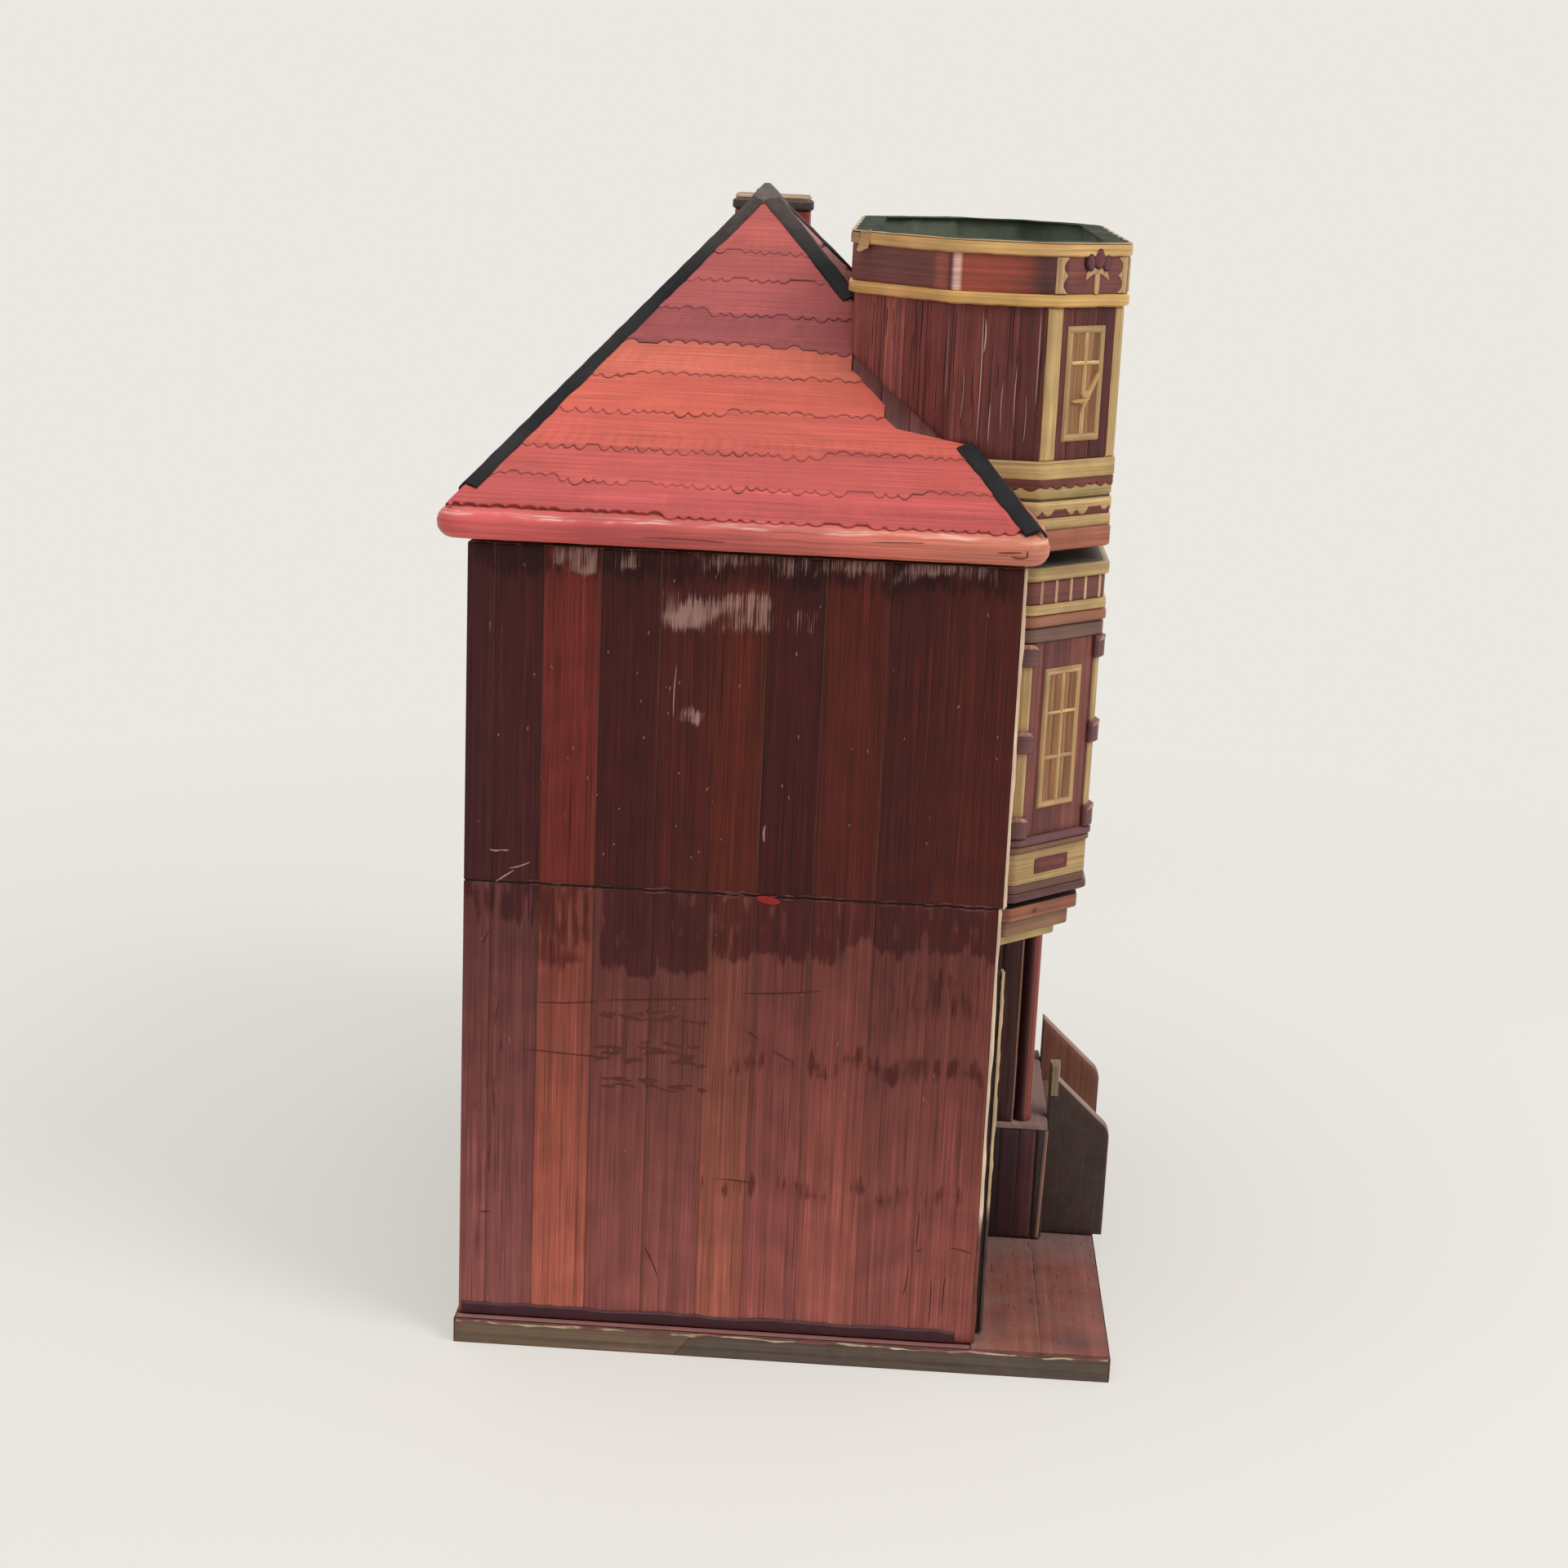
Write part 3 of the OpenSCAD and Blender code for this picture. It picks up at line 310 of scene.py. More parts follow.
def lay(place, a, low, high, thick, tint, v=4, back=-0.05, up=False, seed=0, state=(0, 0, 0), relief=0.012,
        rounding=0.5, cup=0.02, streaks=0.07, mottle=0.06):
    """Lays one sheet of straw on a surface, at the distances a along it, or from a start to an end by a
    pitch. It is as thick as said in its middle, and rounded off near its four edges. Fine ridges run with
    the fibre, which runs along or up, and the tint changes from fibre to fibre. v is a number of rows, or
    their shares. Thick, tint and state may be functions of a, w."""
    a = steps(place, *a) if isinstance(a, tuple) else np.asarray(a, float)
    v = spaced(np.mean(np.asarray(high) - low), v) if isinstance(v, int) else np.asarray(v, float)
    a = a if a.ndim == 2 else a[:, None] + 0 * v
    low, high = (np.broadcast_to(edge, a.shape[:1])[:, None] for edge in (low, high))
    w = low + (high - low) * v
    gap = np.minimum(np.minimum(a - a[0], a[-1] - a), np.minimum(w - low, high - w))
    thick, tint, state = (value(a, w) if callable(value) else value for value in (thick, tint, state))
    fine, long = (a, w) if up else (w, a)
    h = back + (thick - back) * (1 - rounding * np.exp(-(gap / EDGE) ** 2))
    h = h + relief * fibres(fine, RIDGE_W, seed) + cup * clouds(a, w, CUP_SIZE, seed + 2)
    shade = 1 + streaks * fibres(fine, STREAK_W, seed + 1) + mottle * clouds(a, w, MOTTLE_SIZE, seed + 3)
    grain = np.stack([fine, long], axis=-1) + 3.7 * (seed % 50)
    tint = np.asarray(tint, float) * shade[..., None]
    add_sheet(place(a, w, h), place(a, w, 0 * h + back), grain, tint, state)


def widths(start, end, width, seed=0):
    """Edges of straws of about one width between start and end, each up to a tenth wider or narrower."""
    luck = np.random.default_rng(seed)
    parts = luck.uniform(0.9, 1.1, max(1, round((end - start) / width)))
    return start + (end - start) * np.concatenate([[0], np.cumsum(parts)]) / np.sum(parts)


def ribbons(place, edges, low, high, thick, tints, seed=0, rows=5, fray=0.0, pitch=0.8, **settings):
    """Lays upright straws side by side between the edges. Tints are taken in turn. The ends may be frayed by
    up to an amount, and low and high may be functions of the distance."""
    luck = np.random.default_rng(seed)
    for k in range(len(edges) - 1):
        a = steps(place, edges[k] + 0.05, edges[k + 1] - 0.05, pitch)
        bottom, top = (edge(a) if callable(edge) else edge + 0 * a for edge in (low, high))
        bottom = bottom + fray * np.abs(fibres(a, 0.5, seed + 7 * k))
        top = top - fray * np.abs(fibres(a, 0.5, seed + 7 * k + 1))
        keep = top - bottom > 0.3
        if np.sum(keep) >= 3:
            lay(place, a[keep], bottom[keep], top[keep], thick + luck.uniform(-0.03, 0.03),
                tints[k % len(tints)], v=rows, up=True, seed=seed + 31 * k, **settings)


def petal(place, foot, tip, width, thick, tint, bend=0.0, blunt=0.7, seed=0):
    """A leaf cut from straw: it runs from foot to tip with a sideways bend, and its half width is that of a
    sine to a power, so that it is pointed or blunt."""
    t = np.linspace(0, 1, 12)[:, None]
    s = np.array([[-1, -0.7, 0, 0.7, 1]])
    foot, tip = np.asarray(foot, float), np.asarray(tip, float)
    way = (tip - foot) / np.linalg.norm(tip - foot)
    half = width / 2 * np.maximum(np.sin(np.pi * t), 0.02) ** blunt
    aside = (bend * np.sin(np.pi * t) + half * s)[..., None] * np.array([way[1], -way[0]])
    line = foot + t[..., None] * (tip - foot) + aside
    a, w = line[..., 0], line[..., 1]
    h = thick * (1 - 0.35 * s ** 6) + 0 * t
    add_sheet(place(a, w, h), place(a, w, 0 * h - 0.03), line + seed, tint)


def marks(place, rows, tint, thick=0.09):
    """Small cracks, scratches and drops, each a thin leaf given as its middle, length, angle and width."""
    for k, (a, w, length, angle, width) in enumerate(rows):
        reach = 0.5 * length * np.array([math.cos(math.radians(angle)), math.sin(math.radians(angle))])
        petal(place, np.array([a, w]) - reach, np.array([a, w]) + reach, width, thick, tint,
            bend=min(0.12 * length, 0.2) * math.sin(k), blunt=0.4, seed=k)


def strewn(count, a, w, length, angle, width, seed):
    """Rows of marks strewn over a field: each value is drawn between two ends."""
    luck = np.random.default_rng(seed)
    return np.stack([luck.uniform(*ends, count) for ends in (a, w, length, angle, width)], -1)


def round_block(low, high, radius, tint, state=(0, 0, 0), grain_axis=0, parts=24, seed=0, ragged=0.0):
    """A block with rounded upper edges: its top is the lower of two profiles, across x and across y, which
    fall by a quarter circle at their ends. ragged moves its sides in by up to that much."""
    turn = np.linspace(0, np.pi / 2, 4)

    def profile(start, end):
        place = np.concatenate([[0], radius * (1 - np.cos(turn))])
        height = np.concatenate([[low[2] - high[2]], -radius * (1 - np.sin(turn))])
        middle = np.linspace(start + radius, end - radius, parts)[1:-1]
        return (np.concatenate([start + place, middle, (end - place)[::-1]]),
            np.concatenate([height, 0 * middle, height[::-1]]))

    (x, dx), (y, dy) = profile(low[0], high[0]), profile(low[1], high[1])
    x, y = np.meshgrid(x, y, indexing="ij")
    top = np.stack([x, y, high[2] + np.minimum(dx[:, None], dy[None, :])], -1)
    under = top.copy()
    under[..., 2] = low[2]
    fine = (y if grain_axis == 0 else x) + (high[2] - top[..., 2])
    for axis, here, other in ((0, x, y), (1, y, x)):
        apart = here - (low[axis] + high[axis]) / 2
        outside = np.sign(apart) * (np.abs(apart) > 0.98 * np.max(apart))
        top[..., axis] -= ragged * np.abs(fibres(other, 2.2, seed + axis)) * outside
        under[..., axis] = np.clip(here, low[axis] + 0.02, high[axis] - 0.02)
    shade = 1 + 0.1 * fibres(fine, 0.5, seed + 1) + 0.06 * clouds(x, y, 12, seed + 2)
    grain = np.stack([fine, x if grain_axis == 0 else y], -1) + seed
    add_sheet(top, under, grain, np.asarray(tint, float) * shade[..., None], state)


# Materials

def node(tree, kind, **settings):
    """Adds a shader node and sets its properties, or its inputs by their names."""
    made = tree.nodes.new(kind)
    for key, value in settings.items():
        if key in made.inputs:
            made.inputs[key].default_value = value
        else:
            setattr(made, key, value)
    return made


class Paint:
    """One Principled material and short ways to build its pattern."""

    def __init__(self, name, roughness, coat=0.0, metallic=0.0, specular=0.5):
        self.material = bpy.data.materials.new(name)
        self.material.use_nodes = True
        self.tree = self.material.node_tree
        self.link = self.tree.links.new
        self.shader = self.tree.nodes["Principled BSDF"]
        for key, value in (("Roughness", roughness), ("Coat Weight", coat), ("Coat Roughness", 0.15),
                ("Metallic", metallic), ("Specular IOR Level", specular)):
            self.shader.inputs[key].default_value = value

    def noise(self, vector, scale, detail=3.0, roughness=0.55):
        """Noise on a vector that is first scaled, along all axes or each of the three."""
        scale = scale if isinstance(scale, tuple) else (scale, scale, scale)
        mapping = node(self.tree, "ShaderNodeMapping", Scale=scale)
        self.link(vector, mapping.inputs["Vector"])
        made = node(self.tree, "ShaderNodeTexNoise", Scale=1.0, Detail=detail, Roughness=roughness)
        self.link(mapping.outputs["Vector"], made.inputs["Vector"])
        return made.outputs["Fac"]

    def spread(self, value, low, high, to_low, to_high):
        """Maps low and high of a value to two others, and holds it between them."""
        ends = {"From Min": low, "From Max": high, "To Min": to_low, "To Max": to_high}
        made = node(self.tree, "ShaderNodeMapRange", **ends)
        self.link(value, made.inputs["Value"])
        return made.outputs["Result"]

    def plug(self, values, sockets):
        """Sets each socket to a number or a colour of 0 to 255, or links it to an output."""
        for value, socket in zip(values, sockets):
            if isinstance(value, (int, float)):
                socket.default_value = value
            elif isinstance(value, tuple):
                socket.default_value = (*linear(value), 1.0)
            else:
                self.link(value, socket)

    def join(self, first, second, kind="ADD"):
        """Adds or multiplies two values."""
        made = node(self.tree, "ShaderNodeMath", operation=kind)
        self.plug((first, second), made.inputs)
        return made.outputs["Value"]

    def times(self, first, second):
        return self.join(first, second, "MULTIPLY")

    def mix(self, factor, first, second, blend="MIX"):
        """Mixes two colours by a factor."""
        made = node(self.tree, "ShaderNodeMix", data_type="RGBA", blend_type=blend)
        self.plug((factor, first, second), (made.inputs[0], made.inputs[6], made.inputs[7]))
        return made.outputs[2]

    def dusted(self, colour, dust, amount):
        """Lets dust lie where a surface faces up in the object's own frame, in uneven patches."""
        split = node(self.tree, "ShaderNodeSeparateXYZ")
        self.link(self.place("Normal"), split.inputs[0])
        up = self.spread(split.outputs["Z"], 0.25, 0.95, 0.0, amount)
        patches = self.noise(self.place("Object"), 170, 5.0, 0.65)
        return self.mix(self.times(up, self.spread(patches, 0.32, 0.68, 0.15, 1.0)), colour, dust)

    def finish(self, colour, rough, height, strength, depth):
        """Links the colour, the roughness if it varies, and bumps of a depth in metres."""
        self.link(colour, self.shader.inputs["Base Color"])
        if rough:
            self.link(rough, self.shader.inputs["Roughness"])
        made = node(self.tree, "ShaderNodeBump", Strength=strength, Distance=depth)
        self.link(height, made.inputs["Height"])
        self.link(made.outputs["Normal"], self.shader.inputs["Normal"])
        return self.material

    def place(self, kind):
        return node(self.tree, "ShaderNodeTexCoord").outputs[kind]


def straw(name, roughness, specular, contrast, dust, worn_tint=(184, 158, 148), dust_tint=(140, 122, 116)):
    """Split straw: a sheet's own tint, streaked along the fibre at two scales, with dark cracks and bright
    fibres. Where the state attribute says so it is worn pale, still under dark lacquer, or dusty."""
    paint = Paint(name, roughness, specular=specular)
    place, spread, join, times, mix = paint.place("Object"), paint.spread, paint.join, paint.times, paint.mix
    grain = node(paint.tree, "ShaderNodeUVMap", uv_map="grain").outputs["UV"]
    tint = node(paint.tree, "ShaderNodeAttribute", attribute_name="tint").outputs["Color"]
    split = node(paint.tree, "ShaderNodeSeparateColor")
    paint.link(node(paint.tree, "ShaderNodeAttribute", attribute_name="state").outputs["Color"],
        split.inputs[0])
    is_worn, is_lacquered, is_dusty = (split.outputs[key] for key in ("Red", "Green", "Blue"))
    hair = paint.noise(grain, (70, 0.8, 1), 3.0, 0.7)
    streak = paint.noise(grain, (24, 0.25, 1), 4.0, 0.6)
    crack = paint.noise(grain, (34, 0.35, 1), 1.0, 0.4)
    value = join(spread(hair, 0.3, 0.7, -0.5 * contrast, 0.5 * contrast),
        spread(streak, 0.3, 0.7, 1 - 0.8 * contrast, 1 + 0.6 * contrast))
    value = times(value, spread(crack, 0.3, 0.37, 1 - 1.1 * contrast, 1.0))
    value = times(value, spread(crack, 0.62, 0.7, 1.0, 1 + contrast))
    scaled = node(paint.tree, "ShaderNodeVectorMath", operation="SCALE")
    paint.plug((tint, value), (scaled.inputs[0], scaled.inputs["Scale"]))
    veil = paint.noise(place, (900, 900, 75), 4.0, 0.6)
    lacquer = join(is_lacquered, spread(veil, 0.2, 0.8, -0.4, 0.4))
    lacquer = join(lacquer, spread(streak, 0.3, 0.7, -0.07, 0.07))
    lacquer = spread(lacquer, 0.38, 0.58, 0.0, 1.0)
    colour = mix(lacquer, scaled.outputs["Vector"], (186, 158, 166), "MULTIPLY")
    worn = join(is_worn, spread(hair, 0.2, 0.8, -0.42, 0.42))
    colour = mix(spread(worn, 0.52, 0.66, 0.0, 0.9), colour, worn_tint)
    speck = paint.noise(place, 420, 4.0, 0.7)
    colour = mix(times(is_dusty, spread(speck, 0.3, 0.7, 0.45, 1.0)), colour, dust_tint)
    colour = paint.dusted(colour, dust_tint, dust)
    rough = join(spread(streak, 0.3, 0.7, roughness - 0.08, roughness + 0.1), times(is_dusty, 0.3))
    return paint.finish(colour, rough, join(hair, times(streak, 1.5)), 0.55, 0.00006)


def patterned(name, roughness, noises, layers, bumps, strength, depth, rough=None, dust=None, **settings):
    """A material from noises. Each layer mixes a colour into the one before, as a numbered noise runs
    through a range. rough is a noise's number and two limits, and bumps are the relief's noises."""
    paint = Paint(name, roughness, **settings)
    place = paint.place("Object")
    noises = [paint.noise(place, *noise) for noise in noises]
    colour = None
    for k, low, high, share, base, over in layers:
        colour = paint.mix(paint.spread(noises[k], low, high, 0.0, share), base or colour, over)
    colour = paint.dusted(colour, *dust) if dust else colour
    rough = rough and paint.spread(noises[rough[0]], 0.3, 0.7, *rough[1:])
    height = noises[bumps[0]] if len(bumps) == 1 else paint.join(noises[bumps[0]], noises[bumps[1]])
    return paint.finish(colour, rough, height, strength, depth)


def timber(name, light, dark, x=1, y=1, z=1):
    """Planed wood: growth lines and pores, scaled along the axes, and a few darker patches."""
    lines, pores = (tuple(size * s for s in (x, y, z)) for size in (260, 1600))
    layers = [(0, 0.3, 0.7, 1.0, dark, light), (1, 0.55, 0.75, 0.45, None, dark),
        (2, 0.5, 0.8, 0.4, None, dark)]
    return patterned(name, 0.6, [(lines, 3.0, 0.55), (pores, 2.0, 0.6), (40, 4.0, 0.6)], layers, (0, 1), 0.4,
        0.00008, (2, 0.52, 0.7), ((150, 138, 128), 0.25))


def paper(name, light, dark, **settings):
    """Dull dyed paper: soft blotches, rubbed creases and a fine tooth."""
    layers = [(0, 0.3, 0.7, 1.0, dark, light), (2, 0.62, 0.75, 0.5, None, (150, 150, 138)),
        (1, 0.3, 0.7, 0.25, None, dark)]
    return patterned(name, 0.85, [(70, 5.0, 0.65), (2500, 2.0, 0.6), (240, 6.0, 0.75)], layers, (1, 2), 0.5,
        0.00012, **settings)


wall_straw = straw("wall_straw", 0.33, 0.17, 0.42, 0.1, worn_tint=(166, 128, 118))
hazy_straw = straw("hazy_straw", 0.36, 0.17, 0.34, 0.1)
worn_straw = straw("worn_straw", 0.55, 0.15, 0.13, 0.25)
hip_black = straw("hip_black", 0.5, 0.08, 0.3, 0.02)
roof_tiles = straw("roof_tiles", 0.5, 0.12, 0.25, 0.05, dust_tint=(176, 108, 102))
lacquered_straw = straw("lacquered_straw", 0.32, 0.22, 0.28, 0.12)
dull_straw = straw("dull_straw", 0.5, 0.18, 0.3, 0.22)
dusty_straw = straw("dusty_straw", 0.62, 0.2, 0.22, 0.5)
bare_wood = timber("bare_wood", (188, 150, 108), (142, 104, 70), y=0.06)
stained_wood = timber("stained_wood", (122, 74, 56), (84, 48, 38), z=0.06)
upright_wood = timber("upright_wood", (170, 132, 96), (124, 90, 62), z=0.06)
green_paper = paper("green_paper", (124, 130, 110), (80, 90, 76))
rim_paper = paper("rim_paper", (70, 77, 66), (42, 50, 43), specular=0.08)
# Black stain over wood, rubbed grey and green in places, with dust lying on it
black_stain = patterned("black_stain", 0.5, [(300, 6.0, 0.7), (80, 4.0, 0.6)],
    [(0, 0.4, 0.7, 1.0, (34, 34, 37), (64, 66, 68)), (1, 0.5, 0.7, 0.35, None, (78, 88, 82))], (0,), 0.5,
    0.0002, (0, 0.4, 0.7), ((128, 124, 118), 0.5), coat=0.1)
# Tarnished brass: brown in the hollows, brighter where it is rubbed
old_brass = patterned("old_brass", 0.38, [(260, 6.0, 0.6), ((90, 90, 1500), 2.0, 0.5)],
    [(0, 0.42, 0.72, 0.8, (178, 142, 84), (112, 86, 52))], (1,), 0.2, 0.00002, (1, 0.34, 0.52), metallic=1.0)


# Camera, floor and light

def link_object(name, data):
    made = bpy.data.objects.new(name, data)
    bpy.context.scene.collection.objects.link(made)
    return made


def take_photograph():
    """A 60 mm lens in front of the left side, turned a little to the front, looking down 14 degrees."""
    lens = bpy.data.cameras.new("camera")
    lens.lens = 60
    lens.sensor_width = 36
    lens.clip_start = 0.01
    camera = link_object("camera", lens)
    right, up, back = (0.0546, -0.9976, 0.0418), (0.2433, 0.0539, 0.9685), (-0.9685, -0.0428, 0.2456)
    turn = Matrix((right, up, back)).transposed().to_4x4()
    camera.matrix_world = Matrix.Translation((-0.5122, -0.0172, 0.2213)) @ turn
    bpy.context.scene.camera = camera


BACKGROUND = (*linear((235, 232, 226)), 1)


def light_room():
    """One soft lamp high on the right of the picture, a wide one overhead, and pale light from all round.
    What the camera, a reflection or a clear material sees of the world is the plain background colour."""
    for name, where, size, power in (
            ("key", (-0.45, -0.75, 0.95), 0.55, 6.0), ("top", (-0.15, 0.1, 1.1), 0.9, 4.4)):
        lamp = bpy.data.lights.new(name, "AREA")
        lamp.shape = "SQUARE"
        lamp.size = size
        lamp.energy = power
        away = Vector(where) - Vector((0, 0, 0.08))
        turn = away.to_track_quat("Z", "Y").to_matrix().to_4x4()
        link_object(name, lamp).matrix_world = Matrix.Translation(where) @ turn
    bpy.context.scene.view_settings.view_transform = "Standard"
    world = bpy.context.scene.world = bpy.data.worlds.new("room")
    world.use_nodes = True
    tree = world.node_tree
    fill, seen = tree.nodes["Background"], tree.nodes.new("ShaderNodeBackground")
    fill.inputs["Color"].default_value = (1.0, 0.985, 0.965, 1)
    fill.inputs["Strength"].default_value = 0.5
    seen.inputs["Color"].default_value = BACKGROUND
    path = tree.nodes.new("ShaderNodeLightPath")
    most = path.outputs["Is Camera Ray"]
    for ray in ("Is Glossy Ray", "Is Transmission Ray"):
        either = node(tree, "ShaderNodeMath", operation="MAXIMUM")
        tree.links.new(most, either.inputs[0])
        tree.links.new(path.outputs[ray], either.inputs[1])
        most = either.outputs[0]
    mix = tree.nodes.new("ShaderNodeMixShader")
    for k, source in enumerate((most, fill.outputs[0], seen.outputs[0])):
        tree.links.new(source, mix.inputs[k])
    tree.links.new(mix.outputs[0], tree.nodes["World Output"].inputs["Surface"])


def lay_floor():
    """A round pale floor under the base. Away from the house it turns into the plain background colour."""
    mesh = bpy.data.meshes.new("floor")
    turn = np.linspace(0, 2 * np.pi, 96, endpoint=False)
    ring = np.stack([3 * np.cos(turn), 3 * np.sin(turn), 0 * turn], -1)
    mesh.from_pydata(ring.tolist(), [], [list(range(96))])
    link_object("floor", mesh)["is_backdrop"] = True
    paint = Paint("floor", 0.9, specular=0.1)
    apart = node(paint.tree, "ShaderNodeVectorMath", operation="LENGTH")
    paint.link(paint.place("Object"), apart.inputs[0])
    paint.shader.inputs["Base Color"].default_value = BACKGROUND
    glow = node(paint.tree, "ShaderNodeEmission", Color=BACKGROUND, Strength=1.0)
    mix = node(paint.tree, "ShaderNodeMixShader")
    far = paint.spread(apart.outputs["Value"], 0.16, 0.45, 0.45, 1.0)
    paint.plug((far, paint.shader.outputs[0], glow.outputs[0]), mix.inputs)
    paint.link(mix.outputs[0], paint.tree.nodes["Material Output"].inputs["Surface"])
    mesh.materials.append(paint.material)


# Straw tints, from 0 to 255 as the eye sees them

YELLOW = (188, 156, 104)
PALE = (222, 196, 168)
SALMON = (164, 98, 76)
OLIVE = (176, 150, 98)
MAROON = (62, 20, 30)
PURPLE = (104, 58, 61)
FIELD_TINTS = [(116, 64, 58), (106, 57, 54), (124, 70, 62), (110, 60, 54), (120, 67, 60), (104, 55, 53)]


def mixed(share, first, second):
    """The first tint turning into the second one by a share, which may be one for each point."""
    share = np.asarray(share)[..., None]
    return (1 - share) * np.asarray(first, float) + share * np.asarray(second, float)


def shaded(tint, low, reach, other):
    """A tint function: other at height low, turning into tint over a reach above it."""
    return lambda a, w: mixed(np.clip((w - low) / reach, 0, 1), other, tint)


def within(x, low, high, soft):
    """1 well between low and high, falling to 0 at both over a soft width."""
    return np.clip((x - low) / soft, 0, 1) * np.clip((high - x) / soft, 0, 1)


def wear(worn, lacquer, seed):
    """A state function from lists of patches, each given as y from and to, z from and to, strength and
    softness, broken up by random patches."""
    def state(a, w):
        y = DEPTH - a
        w = w + 0.9 * wander(a, 19, seed) + 0.5 * fibres(a, 0.9, seed)
        layers = [0 * a, 0 * a, 0 * a]
        for kind, patches in enumerate((worn, lacquer)):
            broken = 0.95 + 0.3 * clouds(a, w, 7, seed + kind)
            for y0, y1, z0, z1, strength, soft in patches:
                patch = strength * broken * within(y, y0, y1, soft) * within(w, z0, z1, soft)
                layers[kind] = np.maximum(layers[kind], patch)
        return np.clip(np.stack(layers, -1), 0, 1)
    return state


# Walls

WALL_EDGES = np.cumsum([0, 4.8, 8.6, 9.9, 10.4, 10.1, 8.4, 9.9, 11.0, 10.2])
UPPER_TINTS = [(70, 28, 30), (70, 26, 27), (108, 40, 33), (68, 23, 21), (77, 28, 23), (88, 33, 23),
    (66, 22, 20), (85, 31, 24), (71, 25, 22), (81, 30, 24)]
LOWER_TINTS = [(110, 62, 60), (106, 60, 58), (130, 69, 57), (108, 59, 55), (106, 59, 54), (120, 67, 56),
    (112, 60, 56), (120, 65, 58), (107, 58, 53), (112, 60, 54)]
UPPER_WEAR = wear([(71, 82, 138, 147, 0.62, 2), (64, 71, 139, 147, 0.55, 2), (1, 58, 139, 147, 0.56, 3),
    (39, 64, 127.5, 140, 0.62, 4), (32, 42, 129, 138, 0.5, 3), (52, 59, 113, 119, 0.55, 2),
    (86, 93, 127, 132, 0.5, 2)], [(-2, 97, 136, 150, 0.6, 4)], 5)
LOWER_WEAR = wear([(83, 95, 70, 82, 0.2, 4), (51, 70, 72, 80, 0.16, 3)],
    [(50, 71, 67, 92, 0.8, 1.5), (70, 84, 66.5, 92, 0.55, 2.5), (26, 52, 70.5, 92, 0.72, 2.5),
    (-2, 30, 73, 92, 0.7, 2.5), (84, 97, 5, 68, 0.3, 4), (76, 97, 73, 92, 0.56, 4), (32, 50, 48, 56, 0.5, 3),
    (-2, 35, 48.5, 57, 0.56, 3), (-2, 22, 58, 76, 0.42, 6), (-2, 60, 24, 33, 0.42, 4),
    (20, 84, 58, 63, 0.34, 3)], 9)
# Scratches on the lower wall: y, z, length and angle
SCRATCHES = [(60, 63.2, 19, 4), (37.5, 65.9, 14, 5), (76, 61.8, 11, 4), (76, 52, 16, -3),
    (59.4, 12.4, 6.4, -66), (45, 29.3, 6.6, -3), (42.4, 57.5, 2.6, -32), (36.7, 53.8, 4.6, -28),
    (90.3, 20.5, 2, 4), (10.5, 18, 1.6, 20), (3, 18.4, 4.2, -12), (88.5, 59, 4, 80), (90.8, 73, 2.6, 70),
    (11, 22, 7, 88), (12.6, 12, 6, 84), (8, 8, 9, 90), (5.6, 9, 8, 88)]


def wall_marks(place, side):
    """The dark seam between the storeys with crumbs along it, a red drop, ripples and scratches."""
    lay(place, (0.2, 95, 2), SEAM - 0.4, SEAM + 0.4, -0.14, (26, 12, 14), back=-0.33)
    petal(place, (52.2, 83.2), (56.4, 82.6), 1.4, 0.14, (152, 38, 42), blunt=0.4, seed=side)
    ripples = [strewn(13, (25.5, 44), (w - 1, w + 1), (1.6, 4.4), (-12, 12), (0.25, 0.7), 60 + w)
        for w in (60, 54, 52, 47)]
    marks(place, np.vstack(ripples), (92, 47, 43), 0.04)
    marks(place, [(DEPTH - y, z, length, angle, 0.22) for y, z, length, angle in SCRATCHES], (78, 36, 34),
        0.05)
    for w in (SEAM - 0.35, SEAM + 0.4):
        crumbs = strewn(38, (0, 95), (w - 0.1, w + 0.1), (1, 3.4), (-3, 3), (0.12, 0.3), 4 + side)
        marks(place, crumbs, (104, 56, 54), 0.05)
    marks(place, strewn(50, (1, 94), (86, 142), (0.3, 0.8), (60, 120), (0.12, 0.24), 8 + side),
        (150, 112, 104))
    marks(place, strewn(16, (1, 94), (5, 82), (0.3, 1.5), (70, 110), (0.1, 0.2), 18 + side), (160, 116, 104))
    marks(place, [(7.4, 84.7, 4, 35, 0.3), (10, 86.8, 4, 20, 0.25), (5.6, 89.4, 2, 0, 0.3),
        (7.3, 89.4, 1.6, 0, 0.25), (36.6, 119.8, 9, 88, 0.16), (53.2, 95, 3, 90, 0.4)], (166, 130, 122))


def side_walls():
    """Ten upright ribbons to a storey on both sides, a fine ridge round each, hazy, scratched and dusty."""
    hazy = [shaded(np.array(t) * (0.94, 0.89, 0.87), 0, 75, 1.35 * np.array(t) + (5, 4, 3))
        for t in LOWER_TINTS]
    for name, material, low, high, front, tints, state in (
            ("upper_side_straw", wall_straw, SEAM + 0.13, WALL_TOP, 0.75, UPPER_TINTS, UPPER_WEAR),
            ("lower_side_straw", hazy_straw, 0.1, SEAM - 0.13, 0.1, hazy, LOWER_WEAR)):
        piece(name, "carcass", "red_straw", material, "side_wall_straw")
        for side, place in both(flat((-HALF_W, DEPTH, 0), -Y, Z)):
            ribbons(place, [*WALL_EDGES, DEPTH + front], low, high, 0.0, tints[3 * side:] + tints[:3 * side],
                seed=11 + 40 * side, rows=44, fray=0.12, pitch=0.5, back=-0.33, state=state, relief=0.015,
                cup=0.03, streaks=0.09)
            if material is hazy_straw:
                wall_marks(place, side)


